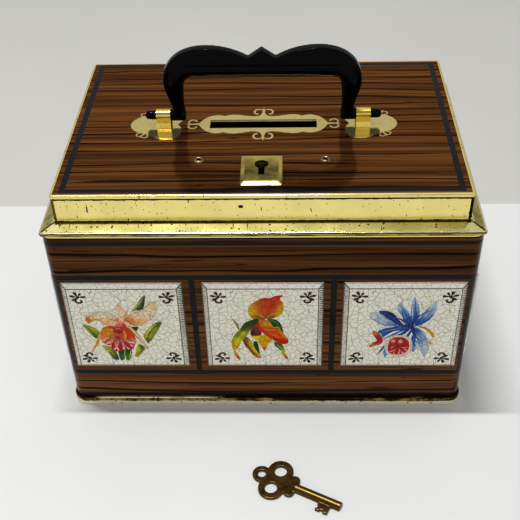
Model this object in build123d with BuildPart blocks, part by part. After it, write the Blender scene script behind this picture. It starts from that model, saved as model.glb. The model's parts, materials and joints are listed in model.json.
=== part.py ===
"""Lithographed tinplate cash box with a carrying handle, a coin slot, a cam lock and its key.

Frame, in millimetres: the origin is the centre of the underside, +Z is up, +X runs along
the long side and -Y is the front, where the lock and the key are.
"""

import os
from math import cos, radians, sin

from build123d import *

# ---------------------------------------------------------------- driving sizes
BODY_X = 180.0  # outside of the walls
BODY_Y = 122.0
LID_X = 169.2  # outside of the lid's rims
LID_Y = 111.9
LID_TOP = 117.3  # top of the lid sheet above the table
SHEET = 0.5  # tinplate

# walls and base
WALL_R = 4.5  # upright corners of the walls
WALL_TOP = 100.6
SEAM_OUT = 1.0  # the base seam stands this far outside the walls
SEAM_H = 5.0
SEAM_FIT = 0.05
LAP_X = 78.0  # soldered side seam, inside the back wall
LAP_W = 5.0

# embossed tile panels, three on the long sides and two on the short sides
TILE_PITCH = 60.0
TILE_W = 52.0
TILE_H = 50.8
TILE_Z = 50.7
TILE_BEVEL = 2.4
TILE_OUT = 1.6

# shoulder frame: rolled bead, sloping shoulder, ledge and neck
BEAD_R = 1.0
BEAD_IN = 0.6
SLOPE_IN = 4.5
FLANGE_W = 2.3  # flat flange over the top edge of the walls
FLANGE_T = 0.5
LEDGE_Z = 103.85
NECK_X = 82.65
NECK_Y = 54.0
NECK_TOP = 115.3
NECK_R = 2.0

# lid
LID_BOTTOM = 104.2
LID_R = 1.4
RIM_OUT = 0.25  # the top rim and the hem stand this far outside the skirt
RIM_H = 1.5
HEM_H = 1.3
HEM_T = 1.0
CORNER_GAP = 0.5  # open seam between two sides of the skirt
CORNER_NOTCH_R = 1.3

# features along the lid's cross line
LINE_Y = -2.0  # handle, coin slot and straps are centred on this line
SLOT_L = 47.0
SLOT_W = 6.8
SLOT_LIP = 2.0

# handle and its straps
PEG_R = 2.0
PEG_Z = LID_TOP + 4.9
PEG_FIT = 0.05
PEG_END = 51.6
STRAP_IN = 40.5
STRAP_W = 6.2
STRAP_T = 0.6
STRAP_SPLAY = 0.8
LEG_X = 36.9
LEG_R = 3.2
BOSS_R = 2.6
GRIP_R = 3.6
CORNER_X = -29.2
CORNER_Z = LID_TOP + 19.4
CORNER_R = 8.0
FIN_T = 4.4

# lock
KEY_Y = -35.6
KEYHOLE_R = 2.9
KEYHOLE_SLOT_W = 2.6
KEYHOLE_REACH = 7.5
ESC_W = 17.0
ESC_Y0 = -49.4
ESC_Y1 = -28.0
ESC_H = 1.2
ESC_EDGE = 0.35
ESC_BEVEL = 1.5
RIVET_X = 26.4
RIVET_Y = -30.6
EYELET_R = 2.1
EYELET_HOLE = 1.0
EYELET_SHANK = 1.5
PLATE_T = 1.0
CASE_X = 19.0
CASE_Y0 = -51.0
CASE_Y1 = -23.2
CASE_T = 0.8
CASE_BOTTOM = 108.7
BOLT_Z0 = 111.7
BOLT_Z1 = 113.7
BOLT_NOSE = -51.2
BOLT_HALF_W = 15.0
NOSE_HALF_W = 6.0
BOLT_TRAVEL = 3.6
DETENT_Y = -33.0
DETENT_R = 0.6
POST_X = 11.5
POST_Y = -39.0
POST_R = 1.25
POST_PLAY = 0.4
TENON_R = 0.8
STRIKE_W = 26.0
STRIKE_T = 0.8
STRIKE_Z0 = 105.7
STRIKE_Z1 = 114.7
STRIKE_RIVET_X = 9.5
STRIKE_RIVET_Z = 108.1

# hinges at the back
HINGE_X = 50.0
HINGE_W = 20.0
AXIS_Y = 58.45
AXIS_Z = 106.2
KNUCKLE_R = 2.2
PIN_R = 1.0
PIN_FIT = 0.05
KNUCKLE_GAP = 0.3
LEAF_T = 0.8
LEAF_BEND = 102.5
LEAF_FOOT = 88.5  # bottom of the body leaf
LID_LEAF_Z0 = 109.0
LID_LEAF_Z1 = 115.5
RIVET_R = 0.8
RIVET_DX = 6.0  # hinge rivets stand this far each side of the hinge's middle
BODY_RIVET_Z = 93.0
LID_RIVET_Z = 112.7

# key, flat on the table in front of the box
KEY_AT = (-1.1, -102.5)
KEY_ANGLE = -26.3
KEY_T = 1.4
BOW_R = 5.6  # the two big lobes of the bow
BOW_X = 6.9
BOW_Y = 4.8
BOW_HOLE_R = 2.7
TIP_R = 4.1  # the small lobe at the bow's end, round the key's origin
TIP_HOLE_R = 1.8
COLLAR_X = 14.6
SHANK_R = 2.1
SHANK_X0 = 16.0
SHANK_X1 = 37.7
SHANK_SIDE = 0.6
BIT_X = 31.0
BIT_W = 5.6
BIT_REACH = 6.2

UNDER_LID = LID_TOP - SHEET
PLATE_BOTTOM = UNDER_LID - PLATE_T
half_x, half_y = BODY_X / 2, BODY_Y / 2
lid_y = LID_Y / 2
skirt_y = lid_y - RIM_OUT
bolt_z = (BOLT_Z0 + BOLT_Z1) / 2

os.makedirs("parts", exist_ok=True)


def write(builder, name):
    """Labels a finished piece and writes its STEP file."""
    builder.part.label = name
    export_step(builder.part, f"parts/{name}.step")


def wall_tiles():
    """Planes at the centre of each embossed tile, facing out of the walls."""
    for x in (-TILE_PITCH, 0, TILE_PITCH):
        yield Plane(origin=(x, -half_y, TILE_Z), x_dir=(1, 0, 0), z_dir=(0, -1, 0))
        yield Plane(origin=(x, half_y, TILE_Z), x_dir=(-1, 0, 0), z_dir=(0, 1, 0))
    for y in (-TILE_PITCH / 2, TILE_PITCH / 2):
        yield Plane(origin=(half_x, y, TILE_Z), x_dir=(0, 1, 0), z_dir=(1, 0, 0))
        yield Plane(origin=(-half_x, y, TILE_Z), x_dir=(0, -1, 0), z_dir=(-1, 0, 0))


def keyhole(grow=0.0):
    """Keyhole outline in the current sketch: a round hole with a slot towards the front."""
    with Locations((0, KEY_Y)):
        Circle(KEYHOLE_R + grow)
    reach = KEYHOLE_REACH + grow
    with Locations((0, KEY_Y - reach / 2)):
        Rectangle(KEYHOLE_SLOT_W + 2 * grow, reach)


def keyhole_cutter(bottom, top, grow=0.0):
    """A solid keyhole from bottom to top, to cut through stacked sheets."""
    with BuildPart(mode=Mode.PRIVATE) as cutter:
        with BuildSketch(Plane.XY.offset(bottom)):
            keyhole(grow)
        extrude(amount=top - bottom)
    return cutter.part


# ---------------------------------------------------------------- walls
with BuildPart() as body_wall:
    with BuildSketch(Plane.XY.offset(SHEET)):
        RectangleRounded(BODY_X, BODY_Y, WALL_R)
        RectangleRounded(BODY_X - 2 * SHEET, BODY_Y - 2 * SHEET, WALL_R - SHEET, mode=Mode.SUBTRACT)
    extrude(amount=WALL_TOP - SHEET)
    for tile in wall_tiles():
        with BuildSketch(tile):
            Rectangle(TILE_W, TILE_H)
        with BuildSketch(tile.offset(TILE_OUT)):
            Rectangle(TILE_W - 2 * TILE_BEVEL, TILE_H - 2 * TILE_BEVEL)
        loft()
    for tile in wall_tiles():
        inner = tile.offset(-SHEET - 0.01)
        with BuildSketch(inner):
            Rectangle(TILE_W - 2 * SHEET, TILE_H - 2 * SHEET)
        with BuildSketch(tile.offset(TILE_OUT - SHEET)):
            Rectangle(TILE_W - 2 * TILE_BEVEL - SHEET, TILE_H - 2 * TILE_BEVEL - SHEET)
        loft(mode=Mode.SUBTRACT)
    # lapped side seam, soldered inside the back wall near a corner
    with Locations((LAP_X, half_y - 1.5 * SHEET, WALL_TOP / 2)):
        Box(LAP_W, SHEET, WALL_TOP - 4)
    # holes for the hinge rivets
    for side in (-1, 1):
        for dx in (-RIVET_DX, RIVET_DX):
            hole = Plane(origin=(side * HINGE_X + dx, half_y + 1, BODY_RIVET_Z), z_dir=(0, -1, 0))
            with BuildSketch(hole):
                Circle(RIVET_R)
            extrude(amount=3, mode=Mode.SUBTRACT)
write(body_wall, "body_wall")

# ---------------------------------------------------------------- base
with BuildPart() as bottom_panel:
    with BuildSketch():
        RectangleRounded(BODY_X + 2 * SEAM_OUT, BODY_Y + 2 * SEAM_OUT, WALL_R + SEAM_OUT)
    extrude(amount=SEAM_H)
    fillet(bottom_panel.edges().filter_by_position(Axis.Z, SEAM_H - 0.1, SEAM_H + 0.1), 0.6)
    fillet(bottom_panel.edges().filter_by_position(Axis.Z, -0.1, 0.1), 0.6)
    with BuildSketch(Plane.XY.offset(SHEET)):
        RectangleRounded(BODY_X + 2 * SEAM_FIT, BODY_Y + 2 * SEAM_FIT, WALL_R + SEAM_FIT)
    extrude(amount=SEAM_H, mode=Mode.SUBTRACT)
write(bottom_panel, "bottom_panel")

# ---------------------------------------------------------------- shoulder frame
with BuildPart() as shoulder_frame:
    # sloping shoulder with mitred corners, as thick as the sheet
    for drop, mode in ((0.0, Mode.ADD), (SHEET, Mode.SUBTRACT)):
        with BuildSketch(Plane.XY.offset(WALL_TOP + 2 * BEAD_R - drop)):
            Rectangle(BODY_X - 2 * BEAD_IN, BODY_Y - 2 * BEAD_IN)
        with BuildSketch(Plane.XY.offset(LEDGE_Z - drop)):
            Rectangle(BODY_X - 2 * SLOPE_IN, BODY_Y - 2 * SLOPE_IN)
        loft(mode=mode)
    # level ledge under the lid's hem
    with BuildSketch(Plane.XY.offset(LEDGE_Z - SHEET)):
        Rectangle(BODY_X - 2 * SLOPE_IN + 0.4, BODY_Y - 2 * SLOPE_IN + 0.4)
    extrude(amount=SHEET)
    # neck that the lid closes over, with a rolled top edge
    with BuildSketch(Plane.XY.offset(LEDGE_Z - SHEET)):
        RectangleRounded(2 * NECK_X, 2 * NECK_Y, NECK_R)
    extrude(amount=NECK_TOP - LEDGE_Z + SHEET)
    with BuildSketch(Plane.XY.offset(WALL_TOP - 1)):
        RectangleRounded(2 * NECK_X - 2 * SHEET, 2 * NECK_Y - 2 * SHEET, NECK_R - SHEET)
    extrude(amount=NECK_TOP, mode=Mode.SUBTRACT)
    # rolled bead round the outer edge
    with BuildPart(mode=Mode.PRIVATE) as bead:
        out = BEAD_R - BEAD_IN
        with BuildSketch(Plane.XY.offset(WALL_TOP)):
            RectangleRounded(BODY_X + 2 * out, BODY_Y + 2 * out, 2.0)
            RectangleRounded(BODY_X - 4 * BEAD_R + 2 * out, BODY_Y - 4 * BEAD_R + 2 * out, 1.0,
                             mode=Mode.SUBTRACT)
        extrude(amount=2 * BEAD_R)
        fillet(bead.faces().sort_by(Axis.Z)[-1].outer_wire().edges(), 0.95 * BEAD_R)
        fillet(bead.faces().sort_by(Axis.Z)[0].outer_wire().edges(), 0.95 * BEAD_R)
    add(bead.part)
    # flat seam flange over the top edge of the walls
    with BuildSketch(Plane.XY.offset(WALL_TOP)):
        RectangleRounded(BODY_X - 0.4, BODY_Y - 0.4, 1.6)
        inset = 0.4 + 2 * FLANGE_W
        RectangleRounded(BODY_X - inset, BODY_Y - inset, 1.0, mode=Mode.SUBTRACT)
    extrude(amount=FLANGE_T)
    # window for the lock bolt and holes for the strike's rivets
    with Locations((0, -NECK_Y, bolt_z)):
        Box(2 * NOSE_HALF_W + 1, 4, BOLT_Z1 - BOLT_Z0 + 0.6, mode=Mode.SUBTRACT)
    for x in (-STRIKE_RIVET_X, STRIKE_RIVET_X):
        with BuildSketch(Plane(origin=(x, -NECK_Y - 1, STRIKE_RIVET_Z), z_dir=(0, 1, 0))):
            Circle(RIVET_R)
        extrude(amount=3, mode=Mode.SUBTRACT)
write(shoulder_frame, "shoulder_frame")

# ---------------------------------------------------------------- strike for the bolt
with BuildPart() as lock_strike:
    with Locations((0, -NECK_Y + SHEET + STRIKE_T / 2, (STRIKE_Z0 + STRIKE_Z1) / 2)):
        Box(STRIKE_W, STRIKE_T, STRIKE_Z1 - STRIKE_Z0)
    fillet(lock_strike.edges().filter_by(Axis.Y), 1.5)
    with Locations((0, -NECK_Y, bolt_z)):
        Box(2 * NOSE_HALF_W + 1, 6, BOLT_Z1 - BOLT_Z0 + 0.6, mode=Mode.SUBTRACT)
    for x in (-STRIKE_RIVET_X, STRIKE_RIVET_X):
        with BuildSketch(Plane(origin=(x, -NECK_Y - 1, STRIKE_RIVET_Z), z_dir=(0, 1, 0))):
            Circle(RIVET_R)
        extrude(amount=4, mode=Mode.SUBTRACT)
write(lock_strike, "lock_strike")

with BuildPart() as strike_rivets:
    # round head inside, shank, and a flat head outside the neck
    for x in (-STRIKE_RIVET_X, STRIKE_RIVET_X):
        for start, direction, length, radius in (
            (-NECK_Y + SHEET + STRIKE_T, 1, 0.5, 1.5),
            (-NECK_Y - 0.3, 1, SHEET + STRIKE_T + 0.4, RIVET_R),
            (-NECK_Y, -1, 0.3, 1.3),
        ):
            with BuildSketch(Plane(origin=(x, start, STRIKE_RIVET_Z), z_dir=(0, direction, 0))):
                Circle(radius)
            extrude(amount=length)
write(strike_rivets, "strike_rivets")

# ---------------------------------------------------------------- lid
with BuildPart() as lid_panel:
    # skirt
    with BuildSketch(Plane.XY.offset(LID_BOTTOM)):
        RectangleRounded(LID_X - 2 * RIM_OUT, LID_Y - 2 * RIM_OUT, LID_R - RIM_OUT)
    extrude(amount=LID_TOP - LID_BOTTOM - RIM_H / 2)
    # top rim, standing a little proud of the skirt and rounded
    with BuildPart(mode=Mode.PRIVATE) as top_slab:
        with BuildSketch(Plane.XY.offset(LID_TOP - RIM_H)):
            RectangleRounded(LID_X, LID_Y, LID_R)
        extrude(amount=RIM_H)
        fillet(top_slab.faces().sort_by(Axis.Z)[-1].edges(), 0.9)
        fillet(top_slab.faces().sort_by(Axis.Z)[0].edges(), 0.2)
    add(top_slab.part)
    # rounded hem along the bottom of the skirt
    with BuildPart(mode=Mode.PRIVATE) as hem:
        with BuildSketch(Plane.XY.offset(LID_BOTTOM)):
            RectangleRounded(LID_X, LID_Y, LID_R)
        extrude(amount=HEM_H)
        fillet(hem.faces().sort_by(Axis.Z)[-1].edges(), 0.24)
        fillet(hem.faces().sort_by(Axis.Z)[0].edges(), 0.4)
    add(hem.part)
    # hollow inside, narrower where the hem is folded
    with BuildSketch(Plane.XY.offset(LID_BOTTOM - 1)):
        RectangleRounded(LID_X - 2 * HEM_T, LID_Y - 2 * HEM_T, 0.5)
    extrude(amount=HEM_H + 1, mode=Mode.SUBTRACT)
    with BuildSketch(Plane.XY.offset(LID_BOTTOM + HEM_H)):
        RectangleRounded(LID_X - 2 * (RIM_OUT + SHEET), LID_Y - 2 * (RIM_OUT + SHEET), 0.6)
    extrude(amount=UNDER_LID - LID_BOTTOM - HEM_H, mode=Mode.SUBTRACT)
    # coin slot with both long edges turned down
    for side in (-1, 1):
        with Locations((0, LINE_Y + side * (SLOT_W / 2 + SHEET / 2), LID_TOP - SLOT_LIP / 2 - 0.1)):
            Box(SLOT_L, SHEET, SLOT_LIP)
    with BuildSketch(Plane.XY.offset(LID_TOP - 4)):
        with Locations((0, LINE_Y)):
            Rectangle(SLOT_L, SLOT_W)
    extrude(amount=5, mode=Mode.SUBTRACT)
    lip_edges = (lid_panel.edges().filter_by(Axis.X)
                 .filter_by_position(Axis.Z, LID_TOP - 0.01, LID_TOP + 0.01)
                 .filter_by_position(Axis.Y, LINE_Y - SLOT_W / 2 - 0.01, LINE_Y + SLOT_W / 2 + 0.01))
    fillet(lip_edges, 0.45)
    # slits for the handle straps
    for side in (-1, 1):
        for end in (-1, 1):
            leg_y = LINE_Y + end * (PEG_R + PEG_FIT + STRAP_SPLAY + STRAP_T / 2)
            with Locations((side * (STRAP_IN + STRAP_W / 2), leg_y, LID_TOP)):
                Box(STRAP_W + 0.4, STRAP_T + 0.5, 4, mode=Mode.SUBTRACT)
    # keyhole and eyelet holes
    add(keyhole_cutter(LID_TOP - 3, LID_TOP + 1, grow=0.5), mode=Mode.SUBTRACT)
    with BuildSketch(Plane.XY.offset(LID_TOP - 3)):
        with Locations((-RIVET_X, RIVET_Y), (RIVET_X, RIVET_Y)):
            Circle(EYELET_SHANK)
    extrude(amount=4, mode=Mode.SUBTRACT)
    # open seams at the corners of the skirt, notched at the bottom
    for sx in (-1, 1):
        for sy in (-1, 1):
            corner = Plane(origin=(sx * (LID_X / 2 - HEM_T), sy * (lid_y - HEM_T), LID_BOTTOM),
                           x_dir=(-sy, sx, 0), z_dir=(sx, sy, 0))
            gap_h = LID_TOP - LID_BOTTOM - RIM_H - 0.3
            with BuildSketch(corner):
                with Locations((0, gap_h / 2)):
                    Rectangle(CORNER_GAP, gap_h)
                Circle(CORNER_NOTCH_R)
            extrude(amount=3 * HEM_T, both=True, mode=Mode.SUBTRACT)
    # holes for the hinge rivets in the back of the skirt
    for side in (-1, 1):
        for dx in (-RIVET_DX, RIVET_DX):
            hole = Plane(origin=(side * HINGE_X + dx, lid_y + 1, LID_RIVET_Z), z_dir=(0, -1, 0))
            with BuildSketch(hole):
                Circle(RIVET_R)
            extrude(amount=3, mode=Mode.SUBTRACT)
write(lid_panel, "lid_panel")

# ---------------------------------------------------------------- escutcheon
with BuildPart() as escutcheon:
    esc_y = (ESC_Y0 + ESC_Y1) / 2
    esc_l = ESC_Y1 - ESC_Y0
    with BuildSketch(Plane.XY.offset(LID_TOP)):
        with Locations((0, esc_y)):
            RectangleRounded(ESC_W, esc_l, 0.8)
    extrude(amount=ESC_EDGE)
    with BuildSketch(Plane.XY.offset(LID_TOP + ESC_EDGE)):
        with Locations((0, esc_y)):
            RectangleRounded(ESC_W, esc_l, 0.8)
    with BuildSketch(Plane.XY.offset(LID_TOP + ESC_H)):
        with Locations((0, esc_y)):
            RectangleRounded(ESC_W - 2 * ESC_BEVEL, esc_l - 2 * ESC_BEVEL, 0.5)
    loft()
    add(keyhole_cutter(LID_TOP - 1, LID_TOP + 3), mode=Mode.SUBTRACT)
write(escutcheon, "escutcheon")

# ---------------------------------------------------------------- lock plate and its eyelets
with BuildPart() as lock_plate:
    with BuildSketch(Plane.XY.offset(PLATE_BOTTOM)):
        with Locations((0, (CASE_Y0 + CASE_Y1) / 2)):
            RectangleRounded(2 * CASE_X, CASE_Y1 - CASE_Y0, 1.0)
        with Locations((0, RIVET_Y)):
            RectangleRounded(2 * (RIVET_X + 5), 11.0, 3.0)
    extrude(amount=PLATE_T)
    add(keyhole_cutter(PLATE_BOTTOM - 1, UNDER_LID + 1, grow=0.1), mode=Mode.SUBTRACT)
    with BuildSketch(Plane.XY.offset(PLATE_BOTTOM)):
        with Locations((-RIVET_X, RIVET_Y), (RIVET_X, RIVET_Y)):
            Circle(EYELET_SHANK)
        with Locations((-POST_X, POST_Y), (POST_X, POST_Y)):
            Circle(TENON_R)
    extrude(amount=PLATE_T, mode=Mode.SUBTRACT)
write(lock_plate, "lock_plate")

with BuildPart() as lock_eyelets:
    for x in (-RIVET_X, RIVET_X):
        with BuildSketch(Plane(origin=(x, RIVET_Y, 0), x_dir=(1, 0, 0), z_dir=(0, -1, 0))):
            with BuildLine():
                top = LID_TOP + 0.55
                low = PLATE_BOTTOM - 0.5
                Polyline((EYELET_HOLE, low), (EYELET_HOLE, top - 0.35))
                Spline((EYELET_HOLE, top - 0.35), (EYELET_HOLE + 0.45, top), (EYELET_R, LID_TOP))
                Polyline((EYELET_R, LID_TOP), (EYELET_SHANK, LID_TOP), (EYELET_SHANK, PLATE_BOTTOM),
                         (EYELET_R, PLATE_BOTTOM), (EYELET_R - 0.3, low), (EYELET_HOLE, low))
            make_face()
        revolve(axis=Axis((x, RIVET_Y, 0), (0, 0, 1)))
write(lock_eyelets, "lock_eyelets")

# ---------------------------------------------------------------- lock case
with BuildPart() as lock_case:
    case_y = (CASE_Y0 + CASE_Y1) / 2
    case_l = CASE_Y1 - CASE_Y0
    with BuildSketch(Plane.XY.offset(CASE_BOTTOM)):
        with Locations((0, case_y)):
            RectangleRounded(2 * CASE_X, case_l, 1.5)
    extrude(amount=PLATE_BOTTOM - CASE_BOTTOM)
    fillet(lock_case.faces().sort_by(Axis.Z)[0].edges(), 0.7)
    with BuildSketch(Plane.XY.offset(CASE_BOTTOM + CASE_T)):
        with Locations((0, case_y)):
            RectangleRounded(2 * (CASE_X - CASE_T), case_l - 2 * CASE_T, 0.7)
    extrude(amount=10, mode=Mode.SUBTRACT)
    # window for the bolt's nose
    with Locations((0, CASE_Y0, bolt_z)):
        Box(2 * NOSE_HALF_W + 0.6, 4, BOLT_Z1 - BOLT_Z0 + 0.4, mode=Mode.SUBTRACT)
    # hole for the key's pilot end, and for the posts
    with BuildSketch(Plane.XY.offset(CASE_BOTTOM - 1)):
        with Locations((0, KEY_Y)):
            Circle(SHANK_R + 0.3)
        with Locations((-POST_X, POST_Y), (POST_X, POST_Y)):
            Circle(TENON_R)
    extrude(amount=3, mode=Mode.SUBTRACT)
write(lock_case, "lock_case")

with BuildPart() as lock_posts:
    for x in (-POST_X, POST_X):
        for bottom, top, radius in (
            (CASE_BOTTOM - 0.5, CASE_BOTTOM, 1.4),
            (CASE_BOTTOM, CASE_BOTTOM + CASE_T, TENON_R),
            (CASE_BOTTOM + CASE_T, PLATE_BOTTOM, POST_R),
            (PLATE_BOTTOM, UNDER_LID, TENON_R),
        ):
            with BuildSketch(Plane.XY.offset(bottom)):
                with Locations((x, POST_Y)):
                    Circle(radius)
            extrude(amount=top - bottom)
write(lock_posts, "lock_posts")

# ---------------------------------------------------------------- lock bolt
post_slot_w = 2 * POST_R + POST_PLAY
with BuildPart() as lock_bolt:
    body_y0 = CASE_Y0 + CASE_T + BOLT_TRAVEL + 0.2
    body_y1 = CASE_Y1 - CASE_T - 0.8
    with BuildSketch(Plane.XY.offset(BOLT_Z0)):
        with Locations((0, (body_y0 + body_y1) / 2)):
            RectangleRounded(2 * BOLT_HALF_W, body_y1 - body_y0, 1.0)
        with Locations((0, (BOLT_NOSE + body_y0 + 2) / 2)):
            Rectangle(2 * NOSE_HALF_W, body_y0 + 2 - BOLT_NOSE)
        # window for the key's shank and bit, with the talon notch on one side
        window_y0, window_y1 = KEY_Y - KEYHOLE_REACH - 0.1, body_y1 - 3
        with Locations((1.7, (window_y0 + window_y1) / 2)):
            Rectangle(13.8, window_y1 - window_y0, mode=Mode.SUBTRACT)
        with Locations((-6.2, KEY_Y + 0.5)):
            Rectangle(3.2, 5.0, mode=Mode.SUBTRACT)
        # guide slots over the posts
        for x in (-POST_X, POST_X):
            with Locations((x, POST_Y + BOLT_TRAVEL / 2)):
                SlotOverall(BOLT_TRAVEL + post_slot_w, post_slot_w, rotation=90, mode=Mode.SUBTRACT)
        # two detent notches for the spring, one for each end of the travel
        for y in (DETENT_Y, DETENT_Y + BOLT_TRAVEL):
            with Locations((BOLT_HALF_W, y)):
                Circle(DETENT_R, mode=Mode.SUBTRACT)
    extrude(amount=BOLT_Z1 - BOLT_Z0)
    nose = lock_bolt.edges().filter_by(Axis.X).sort_by(Axis.Y)[0:2]
    chamfer(nose, 0.5)
write(lock_bolt, "lock_bolt")

with BuildPart() as bolt_spring:
    wall_x = CASE_X - CASE_T
    with BuildSketch(Plane.XY.offset(BOLT_Z0 - 0.8)):
        with BuildLine():
            # fixed end along the case's wall, then a nose beside the bolt's detent and a free end
            leaf_line = Polyline((wall_x - 0.2, DETENT_Y + 7), (wall_x - 0.2, DETENT_Y + 4),
                                 (BOLT_HALF_W + 0.9, DETENT_Y + 1.5), (BOLT_HALF_W + 0.45, DETENT_Y),
                                 (BOLT_HALF_W + 0.9, DETENT_Y - 1.5), (BOLT_HALF_W + 1.6, DETENT_Y - 7))
            offset(leaf_line, amount=0.2, side=Side.BOTH)
        make_face()
    extrude(amount=BOLT_Z1 - BOLT_Z0 + 1.6)
write(bolt_spring, "bolt_spring")

# ---------------------------------------------------------------- handle straps
for side, name in ((-1, "handle_strap_left"), (1, "handle_strap_right")):
    x0 = side * STRAP_IN if side > 0 else -STRAP_IN - STRAP_W
    with BuildPart() as strap:
        arch_in = PEG_R + PEG_FIT
        with BuildSketch(Plane(origin=(x0, LINE_Y, 0), x_dir=(0, 1, 0), z_dir=(1, 0, 0))):
            outer, inner = arch_in + STRAP_T, arch_in
            foot = UNDER_LID - 0.05
            with BuildLine():
                # outside of the arch, splayed towards the lid, with tabs bent out below it
                Polyline((-outer, PEG_Z), (-outer, LID_TOP + 2.2), (-outer - STRAP_SPLAY, LID_TOP + 0.2),
                         (-outer - STRAP_SPLAY, foot), (-outer - STRAP_SPLAY - 3, foot),
                         (-outer - STRAP_SPLAY - 3, foot - STRAP_T), (-inner - STRAP_SPLAY, foot - STRAP_T),
                         (-inner - STRAP_SPLAY, LID_TOP + 0.2), (-inner, LID_TOP + 2.2), (-inner, PEG_Z))
                ThreePointArc((-inner, PEG_Z), (0, PEG_Z + inner), (inner, PEG_Z))
                Polyline((inner, PEG_Z), (inner, LID_TOP + 2.2), (inner + STRAP_SPLAY, LID_TOP + 0.2),
                         (inner + STRAP_SPLAY, foot - STRAP_T), (outer + STRAP_SPLAY + 3, foot - STRAP_T),
                         (outer + STRAP_SPLAY + 3, foot), (outer + STRAP_SPLAY, foot),
                         (outer + STRAP_SPLAY, LID_TOP + 0.2), (outer, LID_TOP + 2.2), (outer, PEG_Z))
                ThreePointArc((outer, PEG_Z), (0, PEG_Z + outer), (-outer, PEG_Z))
            make_face()
        extrude(amount=STRAP_W)
    write(strap, name)

# ---------------------------------------------------------------- handle
with BuildPart() as handle:
    # leg, growing from the peg boss to the round grip
    with BuildSketch(Plane(origin=(-LEG_X - LEG_R, LINE_Y, PEG_Z), z_dir=(1, 0, 0))):
        Circle(BOSS_R)
    extrude(amount=2 * LEG_R)
    for x, height, half_width, half_depth in (
        (-LEG_X, PEG_Z, LEG_R, BOSS_R),
        (-LEG_X, LID_TOP + 11.0, 2.85, 2.5),
        (CORNER_X - CORNER_R, CORNER_Z, GRIP_R, GRIP_R),
    ):
        with BuildSketch(Plane.XY.offset(height)):
            with Locations((x, LINE_Y)):
                Ellipse(half_width, half_depth)
    loft()
    # corner and half of the grip
    with BuildSketch(Plane.XY.offset(CORNER_Z)):
        with Locations((CORNER_X - CORNER_R, LINE_Y)):
            Circle(GRIP_R)
    revolve(axis=Axis((CORNER_X, LINE_Y, CORNER_Z), (0, 1, 0)), revolution_arc=90)
    with BuildSketch(Plane(origin=(CORNER_X, LINE_Y, CORNER_Z + CORNER_R), z_dir=(1, 0, 0))):
        Circle(GRIP_R)
    extrude(amount=-CORNER_X)
    # thin rib along the top with a hump each side of a centre point
    rib_plane = Plane(origin=(0, LINE_Y - FIN_T / 2, LID_TOP), x_dir=(1, 0, 0), z_dir=(0, -1, 0))
    with BuildSketch(rib_plane):
        with BuildLine():
            Polyline((0, 27.4), (0, 36.3), (-5.9, 32.2))
            Spline((-5.9, 32.2), (-12.6, 35.3), (-19.2, 36.8), (-25.9, 37.0), (-32.6, 35.5),
                   (-37.6, 32.4), (-40.6, 28.6), (-42.1, 23.2), (-41.6, 17.4), (-40.3, 13.4),
                   (-39.8, 10.6))
            Polyline((-39.8, 10.6), (-37.5, 10.6), (-37.0, 17.0), (-31.0, 25.0), (0, 27.4))
        make_face()
    extrude(amount=-FIN_T)
    with BuildSketch(Plane(origin=(-PEG_END, LINE_Y, PEG_Z), z_dir=(1, 0, 0))):
        Circle(PEG_R)
    extrude(amount=PEG_END - LEG_X)
    fillet(handle.faces().sort_by(Axis.X)[0].edges(), 1.5)
    mirror(about=Plane.YZ)
write(handle, "handle")

# ---------------------------------------------------------------- hinges
segment = (HINGE_W - 2 * KNUCKLE_GAP) / 3
wrap_y = half_y + 0.5  # the body leaf stands off here to pass the rolled bead


def knuckle(x_from, length, stock):
    """A rolled knuckle round the hinge axis; stock is the leaf's section, run the same length."""
    with BuildPart(mode=Mode.PRIVATE) as roll:
        with BuildSketch(Plane(origin=(x_from, 0, 0), x_dir=(0, 1, 0), z_dir=(1, 0, 0))):
            with Locations((AXIS_Y, AXIS_Z)):
                Circle(KNUCKLE_R)
            with BuildLine():
                Polyline(*stock, close=True)
            make_face()
            with Locations((AXIS_Y, AXIS_Z)):
                Circle(PIN_R + PIN_FIT, mode=Mode.SUBTRACT)
        extrude(amount=length)
    return roll.part


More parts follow.
